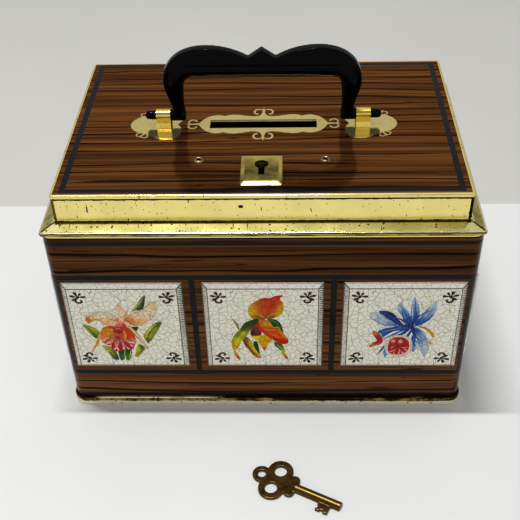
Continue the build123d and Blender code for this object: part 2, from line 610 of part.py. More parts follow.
# sections of the sheet that joins each knuckle to its leaf, as (y, z)
lid_stock = ((AXIS_Y - KNUCKLE_R - 0.3, AXIS_Z), (AXIS_Y - 1.4, AXIS_Z), (AXIS_Y - 1.4, AXIS_Z + 1.5),
             (skirt_y + LEAF_T, AXIS_Z + 2.9), (skirt_y, AXIS_Z + 2.9))
body_stock = ((AXIS_Y, AXIS_Z - KNUCKLE_R), (AXIS_Y, AXIS_Z - 1.4), (half_y - 0.9, AXIS_Z - 1.7),
              (wrap_y + LEAF_T, LEAF_BEND + 1.1), (wrap_y + LEAF_T, LEAF_BEND), (wrap_y, LEAF_BEND),
              (wrap_y, LEAF_BEND + 0.5), (half_y - 1.3, LEAF_BEND + 1.2))
for side, tag in ((-1, "left"), (1, "right")):
    x_low = side * HINGE_X - HINGE_W / 2
    with BuildPart() as leaf:
        add(knuckle(x_low + segment + KNUCKLE_GAP, segment, lid_stock))
        with BuildSketch(Plane(origin=(x_low, skirt_y, 0), x_dir=(1, 0, 0), z_dir=(0, 1, 0))):
            with Locations((HINGE_W / 2, -(LID_LEAF_Z0 + LID_LEAF_Z1) / 2)):
                RectangleRounded(HINGE_W, LID_LEAF_Z1 - LID_LEAF_Z0, 1.0)
        extrude(amount=LEAF_T)
        for dx in (-RIVET_DX, RIVET_DX):
            hole = Plane(origin=(side * HINGE_X + dx, lid_y - 1, LID_RIVET_Z), z_dir=(0, 1, 0))
            with BuildSketch(hole):
                Circle(RIVET_R)
            extrude(amount=4, mode=Mode.SUBTRACT)
    write(leaf, f"lid_hinge_leaf_{tag}")

    with BuildPart() as leaf:
        for x_from in (x_low, x_low + 2 * (segment + KNUCKLE_GAP)):
            add(knuckle(x_from, segment, body_stock))
        with BuildSketch(Plane(origin=(x_low, 0, 0), x_dir=(0, 1, 0), z_dir=(1, 0, 0))):
            with BuildLine():
                outer = half_y + LEAF_T
                Polyline((wrap_y, LEAF_BEND + 0.2), (wrap_y, LEAF_BEND - 3), (half_y, LEAF_BEND - 3.6),
                         (half_y, LEAF_FOOT), (outer, LEAF_FOOT), (outer, LEAF_BEND - 3.8),
                         (wrap_y + LEAF_T, LEAF_BEND - 3.1), (wrap_y + LEAF_T, LEAF_BEND + 0.2), close=True)
            make_face()
        extrude(amount=HINGE_W)
        foot_edges = leaf.edges().filter_by(Axis.Y).group_by(Axis.Z)[0]
        fillet(foot_edges, 1.5)
        for dx in (-RIVET_DX, RIVET_DX):
            hole = Plane(origin=(side * HINGE_X + dx, half_y - 1, BODY_RIVET_Z), z_dir=(0, 1, 0))
            with BuildSketch(hole):
                Circle(RIVET_R)
            extrude(amount=4, mode=Mode.SUBTRACT)
    write(leaf, f"body_hinge_leaf_{tag}")

    with BuildPart() as pin:
        for x_from, x_to, radius in (
            (x_low - 0.6, x_low - 0.05, 1.6),
            (x_low - 0.05, x_low + HINGE_W + 0.05, PIN_R),
            (x_low + HINGE_W + 0.05, x_low + HINGE_W + 0.6, 1.6),
        ):
            with BuildSketch(Plane(origin=(x_from, AXIS_Y, AXIS_Z), z_dir=(1, 0, 0))):
                Circle(radius)
            extrude(amount=x_to - x_from)
    write(pin, f"hinge_pin_{tag}")


def rivets(height, inside, outside):
    """Rivets through the back at the hinge holes, from the inner face to the outer face."""
    with BuildPart() as group:
        for x in (-HINGE_X - RIVET_DX, -HINGE_X + RIVET_DX, HINGE_X - RIVET_DX, HINGE_X + RIVET_DX):
            for start, length, radius in (
                (inside - 0.4, 0.4, 1.3),
                (inside, outside - inside, RIVET_R),
                (outside, 0.7, 1.6),
            ):
                with BuildSketch(Plane(origin=(x, start, height), z_dir=(0, 1, 0))):
                    Circle(radius)
                extrude(amount=length)
        fillet(group.faces().filter_by(Axis.Y).group_by(Axis.Y)[-1].edges(), 0.55)
    return group


write(rivets(BODY_RIVET_Z, half_y - SHEET, half_y + LEAF_T), "body_hinge_rivets")
write(rivets(LID_RIVET_Z, skirt_y - SHEET, skirt_y + LEAF_T), "lid_hinge_rivets")

# ---------------------------------------------------------------- key
with BuildPart() as key:
    along = Vector(cos(radians(KEY_ANGLE)), sin(radians(KEY_ANGLE)), 0)
    key_plane = Plane(origin=(*KEY_AT, 0), x_dir=along, z_dir=(0, 0, 1))
    with BuildSketch(key_plane):
        # three-lobed bow
        Circle(TIP_R)
        with Locations((BOW_X, BOW_Y), (BOW_X, -BOW_Y)):
            Circle(BOW_R)
        with Locations((BOW_X + 1.1, 0)):
            Rectangle(12, 7)
        # small scroll each side where the shank starts
        with Locations((COLLAR_X, 3.1), (COLLAR_X, -3.1)):
            Circle(2.4)
        with Locations((COLLAR_X + 0.4, 0)):
            Rectangle(4, 6)
        # bit with a notched end
        with Locations((BIT_X, -BIT_REACH / 2 - 0.5)):
            Rectangle(BIT_W, BIT_REACH - 1)
        with Locations((BIT_X, -BIT_REACH)):
            Rectangle(1.3, 1.6, mode=Mode.SUBTRACT)
        with Locations((BIT_X - BIT_W / 2, -4.4)):
            Circle(0.8, mode=Mode.SUBTRACT)
        Circle(TIP_HOLE_R, mode=Mode.SUBTRACT)
        with Locations((BOW_X, BOW_Y), (BOW_X, -BOW_Y)):
            Circle(BOW_HOLE_R, mode=Mode.SUBTRACT)
    extrude(amount=KEY_T)
    # half-round shank folded up from the same sheet
    shank_start = key_plane.origin + along * SHANK_X0
    with BuildSketch(Plane(origin=shank_start, x_dir=(-along.Y, along.X, 0), z_dir=along)):
        with BuildLine():
            Polyline((-SHANK_R, SHANK_SIDE), (-SHANK_R, 0), (SHANK_R, 0), (SHANK_R, SHANK_SIDE))
            ThreePointArc((SHANK_R, SHANK_SIDE), (0, SHANK_SIDE + SHANK_R), (-SHANK_R, SHANK_SIDE))
        make_face()
    extrude(amount=SHANK_X1 - SHANK_X0)
write(key, "key")
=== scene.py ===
"""Looks of a lithographed tinplate cash box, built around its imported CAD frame.

The drawing code works in millimetres and MM turns it into metres. Shaders read Object
coordinates, which are the row frame's on CAD nodes and a print's own on printed pieces.
"""

import json
import math
from functools import partialmethod

import bpy
from mathutils import Matrix, Vector
from mathutils.geometry import delaunay_2d_cdt


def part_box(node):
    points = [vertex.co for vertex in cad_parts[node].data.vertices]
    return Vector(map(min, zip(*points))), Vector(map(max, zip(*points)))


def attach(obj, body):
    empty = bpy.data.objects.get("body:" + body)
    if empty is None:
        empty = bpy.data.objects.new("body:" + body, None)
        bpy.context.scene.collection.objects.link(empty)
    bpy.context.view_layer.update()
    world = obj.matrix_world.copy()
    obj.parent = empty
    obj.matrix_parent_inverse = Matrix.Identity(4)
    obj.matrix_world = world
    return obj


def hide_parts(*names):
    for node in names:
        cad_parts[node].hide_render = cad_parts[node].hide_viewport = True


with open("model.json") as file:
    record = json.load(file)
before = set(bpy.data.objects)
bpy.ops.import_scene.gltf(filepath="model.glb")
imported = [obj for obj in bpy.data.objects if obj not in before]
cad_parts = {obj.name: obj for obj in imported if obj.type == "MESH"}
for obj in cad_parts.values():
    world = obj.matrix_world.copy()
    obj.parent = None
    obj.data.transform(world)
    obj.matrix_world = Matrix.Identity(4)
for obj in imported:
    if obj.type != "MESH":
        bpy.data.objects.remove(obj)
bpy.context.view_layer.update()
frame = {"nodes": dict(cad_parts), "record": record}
nodes = frame["nodes"]
MM = 0.001

# ---------------------- sizes, in millimetres
wall_lo, wall_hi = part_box("body_wall")
lid_lo, lid_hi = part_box("lid_panel")
TILE_OUT = 1.6
TILE_FACE_X = wall_hi.x / MM  # outer faces of the embossed tiles
TILE_FACE_Y = wall_hi.y / MM
WALL_X = TILE_FACE_X - TILE_OUT
WALL_Y = TILE_FACE_Y - TILE_OUT
LID_X = lid_hi.x / MM
LID_Y = lid_hi.y / MM
LID_TOP = lid_hi.z / MM
LID_BOTTOM = lid_lo.z / MM
WALL_TOP = wall_hi.z / MM
TILE_PITCH = 60.0
TILE_HALF_W = 26.0
TILE_HALF_H = 25.4
TILE_BEVEL = 2.4
TILE_Z = 50.7
PRINT_EDGE = 1.15  # the lid's wood print ends this far inside its rim
FRAME_IN_X = 3.4  # the lid's black frame line starts this far in at its ends
FRAME_IN_Y = 2.3  # and this far in at its front and back
FRAME_WIDTH = 2.5
SKIRT_MARKS = ((-70.0, 111.0, 0.3, 2.2), (-8.0, 111.7, 1.0, 0.8))  # x, z, half width, half height
BEAD_TOP = WALL_TOP + 2.0
SLOPE_TOP = WALL_TOP + 3.5
BLACK_BANDS = ((77.5, 80.1), (20.3, 22.8), (5.4, 7.3))  # heights of the lines round the walls
PANEL_Z = (20.5, 80.0)  # the black uprights run between these heights
UPRIGHT_U = 28.7  # and start this far from a tile's middle
CORNER = 3.0  # the walls' black corners reach this far in
LINE_Y = -2.0  # y of the handle, the straps and the coin slot
SLOT_HALF_L = 23.5
SLOT_HALF_W = 3.4


# ---------------------- small helpers
def linear(hex_colour):
    """Linear RGB of an sRGB colour written as six hex digits."""
    parts = [int(hex_colour[i:i + 2], 16) / 255 for i in (0, 2, 4)]
    return [c / 12.92 if c <= 0.04045 else ((c + 0.055) / 1.055) ** 2.4 for c in parts]


def rgba(tone):
    """A shader colour from six hex digits or linear RGB; a socket stays as it is."""
    if isinstance(tone, str):
        tone = linear(tone)
    return (*tone, 1.0) if isinstance(tone, (list, tuple)) else tone


def catmull(points, steps, closed=False):
    """Points along a Catmull-Rom curve through the given points."""
    n = len(points)
    out = []
    for i in range(n if closed else n - 1):
        near = [k % n if closed else min(max(k, 0), n - 1) for k in range(i - 1, i + 3)]
        for s in range(steps):
            t = s / steps
            out.append([
                0.5 * (2 * b + (c - a) * t + (2 * a - 5 * b + 4 * c - d) * t * t
                       + (3 * b - a - 3 * c + d) * t ** 3)
                for a, b, c, d in zip(*(points[k] for k in near))
            ])
    if not closed:
        out.append(list(points[-1]))
    return out


def add_object(name, data):
    """New object, put in the scene."""
    obj = bpy.data.objects.new(name, data)
    bpy.context.scene.collection.objects.link(obj)
    return obj


# ---------------------- shader graphs
class Nodes:
    """A node tree. Methods add nodes and hand back output sockets."""

    def __init__(self, tree):
        self.tree = tree

    def put(self, kind, *inputs, out=0, named=None, **settings):
        """New node, its inputs set or linked by number and by name."""
        node = self.tree.nodes.new("ShaderNode" + kind)
        for key, value in settings.items():
            setattr(node, key, value)
        for key, value in [*enumerate(inputs), *(named or {}).items()]:
            if isinstance(value, bpy.types.NodeSocket):
                self.tree.links.new(value, node.inputs[key])
            else:
                node.inputs[key].default_value = value
        return node.outputs[out]

    def math(self, operation, *values, clamp=False):
        return self.put("Math", *values, operation=operation, use_clamp=clamp)

    plus = partialmethod(math, "ADD")
    minus = partialmethod(math, "SUBTRACT")
    times = partialmethod(math, "MULTIPLY")
    divided = partialmethod(math, "DIVIDE")
    scaled = partialmethod(math, "MULTIPLY_ADD")  # value, factor, then what is added
    abs = partialmethod(math, "ABSOLUTE")
    # masks are 1 where something holds and 0 elsewhere
    over = partialmethod(math, "GREATER_THAN")
    under = partialmethod(math, "LESS_THAN")
    both = partialmethod(math, "MULTIPLY")
    either = partialmethod(math, "MAXIMUM")
    inverse = partialmethod(math, "SUBTRACT", 1.0)

    def between(self, value, low, high):
        return self.both(self.over(value, low), self.under(value, high))

    def vector(self, operation, a, b):
        return self.put("VectorMath", a, b, operation=operation)

    def split(self, vector):
        return tuple(self.put("SeparateXYZ", vector).node.outputs)

    def join(self, x, y, z=0.0):
        return self.put("CombineXYZ", x, y, z)

    def mix(self, factor, a, b):
        """Colour from a to b, each a socket, six hex digits or linear RGB."""
        return self.put("Mix", named={0: factor, 6: rgba(a), 7: rgba(b)}, out=2, data_type="RGBA")

    def shade(self, colour, factor):
        """The colour times a factor."""
        return self.vector("MULTIPLY", colour, self.join(factor, factor, factor))

    def ramp(self, value, stops):
        """Colour ramp through stops, each a place and six hex digits or linear RGB."""
        colour = self.put("ValToRGB", value)
        elements = colour.node.color_ramp.elements
        while len(elements) < len(stops):
            elements.new(0.5)
        for element, (place, tone) in zip(elements, stops):
            element.position = place
            element.color = rgba(tone)
        return colour

    def noise(self, vector, scale=1.0, detail=2.0, roughness=0.5):
        named = {"Vector": vector, "Scale": scale, "Detail": detail, "Roughness": roughness}
        return self.put("TexNoise", named=named, out="Fac")

    def step(self, value, start, end, low=0.0, high=1.0):
        """Smooth ramp from low to high while value goes from start to end."""
        return self.put("MapRange", value, start, end, low, high, interpolation_type="SMOOTHSTEP")

    def bump(self, height, distance, strength):
        named = {"Height": height, "Distance": distance, "Strength": strength}
        return self.put("Bump", named=named, out="Normal")


class Graph(Nodes):
    """One material, with its object coordinates in millimetres at hand."""

    def __init__(self, name, **sockets):
        self.material = bpy.data.materials.new(name)
        self.material.use_nodes = True
        super().__init__(self.material.node_tree)
        self.shader = self.tree.nodes["Principled BSDF"]
        for key, value in sockets.items():
            self.shader.inputs[key.replace("_", " ")].default_value = value
        self.mm = self.vector("MULTIPLY", self.put("TexCoord", out="Object"), (1 / MM,) * 3)
        self.x, self.y, self.z = self.split(self.mm)

    def facing(self):
        """The face's own normal in the object's coordinates, so that it turns with a moving part."""
        world = self.put("NewGeometry", out="True Normal")
        return self.split(self.put("VectorTransform", world, vector_type="NORMAL",
                                   convert_from="WORLD", convert_to="OBJECT"))

    def specks(self, scale, share, size, vector=None, dimensions="3D"):
        """Small spots: one in a share of the cells of a Voronoi pattern."""
        named = {"Vector": vector or self.mm, "Scale": scale}
        cell = self.put("TexVoronoi", named=named, voronoi_dimensions=dimensions).node
        chosen = self.under(self.split(cell.outputs["Color"])[0], share)
        return self.both(self.under(cell.outputs["Distance"], size), chosen)

    def use(self, **links):
        """Links sockets to the shader's inputs and gives back the material."""
        for key, value in links.items():
            self.tree.links.new(value, self.shader.inputs[key.replace("_", " ")])
        return self.material


def wood(g, along, across, seed):
    """Straight-grained print of a dark striped wood, the grain running along; a colour socket."""
    def grain(u_length, v, v_width, shift, detail=2.0):
        """Noise drawn out into streaks of a length and a width in millimetres."""
        streaks = g.join(g.times(along, 1 / u_length), g.times(v, 1 / v_width), seed + shift)
        return g.noise(streaks, detail=detail)

    flow = g.scaled(g.minus(grain(80, across, 12, 9.1), 0.5), 2.6, across)
    tones = ((0.28, "452814"), (0.42, "59341a"), (0.52, "6e4221"), (0.64, "7e4f27"), (0.76, "61391c"))
    shades = g.ramp(grain(230, flow, 3.4, 0.0, detail=3.0), tones)
    fibres = g.step(grain(45, flow, 0.5, 3.3), 0.3, 0.7, 0.84, 1.12)
    colour = g.shade(shades, fibres)
    # crisp near-black lines a few millimetres apart, each swelling and thinning along its length
    bend = g.times(g.minus(grain(130, across, 18, 31.7), 0.5), 1.9)
    for spacing, phase, widest, depth in ((6.2, 0.0, 0.8, 0.95), (3.3, 0.37, 0.3, 0.6)):
        row = g.plus(g.scaled(across, 1 / spacing, phase), bend)
        apart = g.times(g.abs(g.minus(g.math("FRACT", row), 0.5)), spacing)
        own = grain(110, g.times(g.math("FLOOR", row), 40.0), 6.0, 41.3 + phase)
        swell = g.step(own, 0.32, 0.6, 0.0, widest)
        crisp = g.minus(1.0, g.divided(apart, g.plus(swell, 0.02)), clamp=True)
        colour = g.mix(g.step(crisp, 0.0, 0.45, 0.0, depth), colour, "0d0703")
    # softer dark bands and finer veins that break off
    veins = ((3.6, 190, 27.1, 0.03, 0.25), (4.4, 210, 17.3, 0.009, 0.7))
    for spacing, reach, shift, widest, depth in veins:
        ridge = g.abs(g.minus(grain(reach, flow, spacing, shift), 0.5))
        width = g.step(grain(80, across, 7.0, shift + 2.2), 0.34, 0.62, 0.0005, widest)
        vein = g.minus(1.0, g.divided(ridge, width), clamp=True)
        colour = g.mix(g.step(vein, 0.0, 0.5, 0.0, depth), colour, "110905")
    return colour


def crackle(g, u, v):
    """Mask of the crazing lines printed on the tiles, in a tile's own coordinates."""
    flat = g.join(u, v)
    warp = g.put("TexNoise", named={"Vector": flat, "Scale": 0.22, "Detail": 1.0}, out="Color")
    warp = g.vector("SUBTRACT", warp, (0.5, 0.5, 0.5))
    flat = g.vector("ADD", flat, g.vector("MULTIPLY", warp, (3.2, 3.2, 0.0)))

    def cells(size, width, strength):
        edge = g.put("TexVoronoi", named={"Vector": flat, "Scale": 1 / size}, out="Distance",
                     feature="DISTANCE_TO_EDGE", voronoi_dimensions="2D")
        return g.step(edge, 0.3 * width / size, width / size, strength, 0.0)

    return g.either(cells(2.7, 0.13, 0.72), cells(9.0, 0.17, 0.6))


def tin_ripple(g, strength=0.12):
    """Very shallow unevenness of a pressed sheet, which bends its reflections a little."""
    return g.bump(g.noise(g.mm, scale=0.05, detail=1.0), distance=0.004, strength=strength)


# ---------------------- materials
GOLD = "ffec94"
WARM_EDGE = (0.65, 0.5, 0.35, 1.0)


def bare_tin(g):
    """Clouded lacquer colour of the unprinted sheet."""
    return g.mix(g.step(g.noise(g.mm, scale=0.08, detail=4.0), 0.3, 0.7), "b9a05a", "a08a4c")


def wall_print():
    """Walls: wood print with black lines and crackled cream tiles outside, lacquered tin inside."""
    g = Graph("wall_print", Specular_IOR_Level=0.12)
    nx, ny, _ = g.facing()
    long_side = g.over(g.abs(ny), g.abs(nx))
    # u runs to the right as each wall is looked at from outside
    u_long = g.times(g.x, g.times(g.math("SIGN", ny), -1.0))
    u_short = g.times(g.y, g.math("SIGN", nx))
    u = g.plus(g.both(long_side, u_long), g.both(g.inverse(long_side), u_short))
    offset = g.scaled(long_side, TILE_PITCH / 2, TILE_PITCH)
    tile_u = g.minus(g.math("FLOORED_MODULO", g.plus(u, offset), TILE_PITCH), TILE_PITCH / 2)
    tile_v = g.minus(g.z, TILE_Z)
    far_u = g.abs(tile_u)
    far_v = g.abs(tile_v)

    colour = wood(g, u, g.z, 3.0)
    # painted shade: the wood print is darkened towards the top of the walls
    colour = g.shade(colour, g.step(g.z, 22.0, 92.0, 0.85, 0.5))
    # black lines round the walls, uprights between the tiles and over the rounded corners
    black = g.between(g.z, WALL_TOP - 4.6, WALL_TOP - 2.6)
    for low, high in BLACK_BANDS:
        black = g.either(black, g.between(g.z, low, high))
    upright = g.both(g.over(far_u, UPRIGHT_U), g.under(g.abs(u), WALL_X - CORNER - 0.2))
    corner = g.both(g.over(g.abs(g.x), WALL_X - CORNER), g.over(g.abs(g.y), WALL_Y - CORNER))
    black = g.either(black, g.both(g.either(upright, corner), g.between(g.z, *PANEL_Z)))
    colour = g.mix(black, colour, "040507")
    colour = g.mix(g.over(g.z, WALL_TOP - 1.3), colour, "1c0f06")
    colour = g.mix(g.over(g.z, WALL_TOP - 0.5), colour, GOLD)

    # cream tiles with a painted highlight on the bevel above, painted shade on the one below and lines
    # along every edge
    on_tile = g.both(g.under(far_u, TILE_HALF_W), g.under(far_v, TILE_HALF_H))
    on_tile = g.both(on_tile, g.under(g.abs(u), WALL_X - CORNER - 0.9))
    mottle = g.noise(g.join(tile_u, tile_v), scale=0.35, detail=3.0)
    cream = g.mix(g.step(mottle, 0.35, 0.65), "f6f4e3", "eeebd8")
    rim_u = g.minus(far_u, TILE_HALF_W - TILE_BEVEL)
    rim_v = g.minus(far_v, TILE_HALF_H - TILE_BEVEL)
    rim = g.either(rim_u, rim_v)
    on_rim = g.over(rim, 0.0)
    end_rim = g.both(on_rim, g.over(rim_v, rim_u))
    side_rim = g.both(on_rim, g.inverse(end_rim))
    lit_rim = g.both(end_rim, g.over(tile_v, 0.0))
    # painted highlight on the upper bevel and painted shade on the lower bevel; the crazing is fainter
    # under the painted highlight
    cream = g.mix(lit_rim, cream, "fffdf0")
    cream = g.mix(g.both(end_rim, g.under(tile_v, 0.0)), cream, "a38d78")
    crazing = g.both(crackle(g, tile_u, tile_v), g.scaled(lit_rim, -0.45, 1.0))
    cream = g.mix(crazing, cream, "4e3a20")
    # short slanting strokes shade the side bevels, mostly the right one and towards the top
    slant = g.scaled(tile_v, 0.95, g.times(far_u, 0.55))
    slant = g.plus(slant, g.noise(g.join(tile_u, tile_v), scale=0.5))
    stroke = g.step(g.abs(g.minus(g.math("FRACT", slant), 0.5)), 0.16, 0.32, 1.0, 0.15)
    upper = g.step(tile_v, -22.0, 16.0, 0.4, 1.0)
    right = g.step(tile_u, -1.0, 1.0, 0.55, 1.0)
    outer = g.step(rim_u, 0.0, 1.1, 0.45, 1.0)
    hatch = g.both(g.both(stroke, side_rim), g.both(upper, g.both(right, outer)))
    cream = g.mix(hatch, cream, "2c1c10")
    border = g.step(g.abs(rim), 0.12, 0.3, 0.9, 0.0)
    # painted shade along each bevel's outer edge, half as strong on the upper bevel
    edge = g.step(rim, TILE_BEVEL - 0.75, TILE_BEVEL - 0.35, 0.0, 0.9)
    mitre = g.step(g.abs(g.minus(rim_u, rim_v)), 0.2, 0.5, 0.9, 0.0)
    edge = g.both(edge, g.scaled(lit_rim, -0.5, 1.0))
    lines = g.either(g.both(mitre, on_rim), g.either(border, edge))
    cream = g.mix(lines, cream, "2e2115")
    colour = g.mix(on_tile, colour, cream)

    # the side that faces into the box is bare lacquered tin
    inner = g.under(g.plus(g.times(g.x, nx), g.times(g.y, ny)), 0.0)
    colour = g.mix(inner, colour, bare_tin(g))
    opaque = g.both(g.either(on_tile, black), g.inverse(inner))
    metallic = g.scaled(opaque, -0.82, 0.84)
    shiny = g.both(g.both(on_tile, g.inverse(inner)), lit_rim)
    metallic = g.scaled(shiny, 0.65, metallic)
    rough = g.scaled(on_tile, 0.16, 0.15)
    colour = g.mix(g.specks(0.055, 0.35, 0.012), colour, "b7a27c")
    return g.use(Base_Color=colour, Metallic=metallic, Roughness=rough, Normal=tin_ripple(g))


def gold_surface(g, base, worn):
    """Colour and roughness of gold lacquer over tin, with pinholes, dashes and rubbed streaks."""
    cloud = g.noise(g.mm, scale=0.10, detail=4.0)
    colour = g.mix(g.step(cloud, 0.35, 0.7), base, worn)
    nx, ny, _ = g.facing()
    long_side = g.over(g.abs(ny), g.abs(nx))
    along = g.plus(g.both(long_side, g.x), g.both(g.inverse(long_side), g.y))
    upright = g.join(along, g.times(g.z, 0.3))
    pits = g.either(g.specks(0.16, 0.4, 0.034, upright, "2D"),
                    g.specks(0.5, 0.12, 0.075, upright, "2D"))
    upright = g.join(along, g.times(g.z, 0.6))
    pits = g.either(pits, g.specks(0.42, 0.3, 0.07, upright, "2D"))
    streaks = g.join(g.times(along, 2.6), g.times(g.z, 0.16))
    streaks = g.step(g.noise(streaks), 0.66, 0.74, 0.0, 0.2)
    colour = g.mix(streaks, colour, "a08c48")
    colour = g.mix(pits, colour, "2e220c")
    rough = g.scaled(g.either(pits, streaks), 0.25, 0.17)
    return colour, rough


def lid_print():
    """Lid: framed wood print on top, gold lacquer on the rims and skirt, unprinted tin underneath."""
    g = Graph("lid_print", Specular_IOR_Level=0.12, Specular_Tint=WARM_EDGE)
    nz = g.facing()[2]
    far_x = g.abs(g.x)
    far_y = g.abs(g.y)
    top = g.both(g.over(g.z, LID_TOP - 1.0), g.over(nz, 0.2))
    in_print = g.both(g.under(far_x, LID_X - PRINT_EDGE), g.under(far_y, LID_Y - PRINT_EDGE))
    printed = g.both(in_print, top)
    # how far a point lies outside the frame line's outer edge
    past = g.either(g.minus(far_x, LID_X - FRAME_IN_X), g.minus(far_y, LID_Y - FRAME_IN_Y))
    frame_line = g.between(past, -FRAME_WIDTH, 0.0)
    colour = wood(g, g.x, g.y, 11.0)
    colour = g.mix(frame_line, colour, "0b0c11")
    colour = g.mix(g.specks(0.05, 0.4, 0.013), colour, "c9b48c")
    gold, gold_rough = gold_surface(g, GOLD, "f6e48e")
    # dark lines of painted shade in the creases under the top rim and along the skirt's foot
    upright = g.under(g.abs(nz), 0.4)
    outside = g.both(upright, g.over(past, 1.5))
    ragged = g.scaled(g.noise(g.mm, scale=0.5, detail=3.0), 0.9, g.z)
    crease = g.either(g.between(ragged, LID_TOP - 1.9, LID_TOP - 0.95),
                      g.between(ragged, LID_BOTTOM - 0.2, LID_BOTTOM + 1.3))
    gold = g.mix(g.both(crease, outside), gold, "1e1406")
    # two deeper marks on the front of the skirt
    for mark_x, mark_z, half_w, half_h in SKIRT_MARKS:
        wobble = g.times(g.minus(g.noise(g.mm, scale=1.4), 0.5), 1.2)
        dx = g.divided(g.plus(g.minus(g.x, mark_x), wobble), half_w)
        dz = g.divided(g.minus(g.z, mark_z), half_h)
        reach = g.plus(g.both(dx, dx), g.both(dz, dz))
        mark = g.both(g.under(reach, 1.0), g.under(g.y, -LID_Y + 2.0))
        gold = g.mix(g.both(mark, outside), gold, "2a1e0a")
    colour = g.mix(printed, gold, colour)
    under = g.both(g.under(far_x, LID_X - 0.6), g.under(far_y, LID_Y - 0.6))
    under = g.both(under, g.inverse(top))
    colour = g.mix(under, colour, bare_tin(g))
    # painted shade darkens the inner walls of the coin slot, and a painted highlight runs along its folded
    # top edge
    in_slot = g.both(g.under(far_x, SLOT_HALF_L + 1.5), g.under(nz, 0.3))
    in_slot = g.both(in_slot, g.between(g.y, LINE_Y - SLOT_HALF_W - 1.2, LINE_Y + SLOT_HALF_W + 1.2))
    colour = g.mix(in_slot, colour, "0a0907")
    colour = g.mix(g.both(in_slot, g.over(g.z, LID_TOP - 0.9)), colour, "fff2a4")
    # seams in the corners of the skirt
    seam = g.both(g.over(far_x, LID_X - 1.7), g.over(far_y, LID_Y - 1.7))
    seam = g.both(seam, g.under(g.z, LID_TOP - 1.5))
    colour = g.mix(seam, colour, g.mix(g.over(g.x, 0.0), "6a5626", "0d0803"))
    line_here = g.both(frame_line, printed)
    metallic = g.scaled(printed, -0.14, 0.88)
    metallic = g.times(metallic, g.scaled(g.either(line_here, in_slot), -0.92, 1.0))
    rough = g.mix(printed, gold_rough, (0.12, 0.12, 0.12))
    return g.use(Base_Color=colour, Metallic=metallic, Roughness=rough, Normal=tin_ripple(g, 0.15))


def shoulder_gold():
    """Shoulder, bead and neck: gold lacquer, pinholed on the slope, with painted shade on its short sides
    and a painted highlight along the bead.
    """
    g = Graph("shoulder_gold", Metallic=1.0)
    colour, rough = gold_surface(g, "ece496", "dcd684")
    on_slope = g.between(g.z, BEAD_TOP - 0.1, SLOPE_TOP)
    pits = g.either(g.specks(0.33, 0.3, 0.13, dimensions="2D"),
                    g.specks(0.85, 0.2, 0.16, dimensions="2D"))
    colour = g.mix(g.both(pits, on_slope), colour, "171003")
    # painted shade: the short sides of the slope are darkened in clouds
    nx, ny, _ = g.facing()
    short_side = g.over(g.abs(nx), g.abs(ny))
    dark_clouds = g.step(g.noise(g.mm, scale=0.07, detail=4.0, roughness=0.6), 0.4, 0.65, 0.35, 0.85)
    colour = g.mix(g.both(g.both(dark_clouds, short_side), on_slope), colour, "80702e")
    # mitre creases run from the bead's corners to the neck
    diagonal = g.minus(g.minus(g.abs(g.x), g.abs(g.y)), WALL_X - WALL_Y)
    crease = g.step(g.abs(diagonal), 0.4, 0.8, 0.97, 0.0)
    colour = g.mix(g.both(crease, g.over(g.z, BEAD_TOP - 0.1)), colour, "0d0903")
    # the bead: a painted highlight on top, painted shade in the groove under it, dull gold with darker
    # blotches on its lower half, and painted shade along its lower edge
    ragged = g.scaled(g.noise(g.mm, scale=0.4, detail=4.0), 0.7, g.z)
    colour = g.mix(g.under(g.z, BEAD_TOP), colour, "b39c58")
    colour = g.mix(g.between(g.z, BEAD_TOP - 0.42, BEAD_TOP), colour, "f4e8b4")
    colour = g.mix(g.between(ragged, BEAD_TOP - 0.35, BEAD_TOP + 0.02), colour, "241806")
    blotches = g.noise(g.join(g.times(g.x, 0.12), g.times(g.y, 0.12), g.z), detail=4.0)
    blotches = g.both(g.step(blotches, 0.44, 0.56, 0.0, 0.92), g.under(g.z, BEAD_TOP - 0.9))
    colour = g.mix(blotches, colour, "2a1a06")
    colour = g.mix(g.under(ragged, WALL_TOP + 0.75), colour, "1c1004")
    return g.use(Base_Color=colour, Roughness=rough, Normal=tin_ripple(g))


def base_tin():
    """Base seam: a dark line on top, mottled worn gold lacquer with painted glints, and silvery worn tin on
    the lower edge, painted pale as a highlight too.
    """
    g = Graph("base_tin")
    blotches = g.noise(g.mm, scale=0.16, detail=5.0, roughness=0.65)
    along = g.plus(g.x, g.y)
    patches = g.noise(g.join(g.times(along, 0.022), 0.0, g.times(g.z, 0.1)), detail=2.0)
    colour = g.mix(g.step(blotches, 0.42, 0.58), "d2ab4c", "4a300c")
    colour = g.mix(g.step(patches, 0.40, 0.48), "2a1a04", colour)
    # lower edge: worn through to silvery tin, and painted pale as a highlight as well
    rub = g.plus(g.z, g.times(g.minus(blotches, 0.5), 2.2))
    bare_and_highlit = g.step(rub, 2.3, 2.8, 1.0, 0.0)
    colour = g.mix(bare_and_highlit, colour, "f4ecd0")
    colour = g.mix(g.step(rub, 4.0, 4.4), colour, "241604")
    # painted highlight: glints on the gold patches near the top of the seam
    painted_glint = g.both(g.step(patches, 0.52, 0.58), g.over(g.z, 4.45))
    colour = g.mix(painted_glint, colour, "ead9a8")
    dark_spots = g.specks(0.45, 0.3, 0.16, g.join(along, g.times(g.z, 0.8)), "2D")
    colour = g.mix(dark_spots, colour, "241703")
    rough = g.step(blotches, 0.3, 0.7, 0.2, 0.42)
    return g.use(Base_Color=colour, Metallic=g.scaled(bare_and_highlit, -0.6, 1.0), Roughness=rough,
                 Normal=g.bump(blotches, distance=0.15 * MM, strength=0.5))


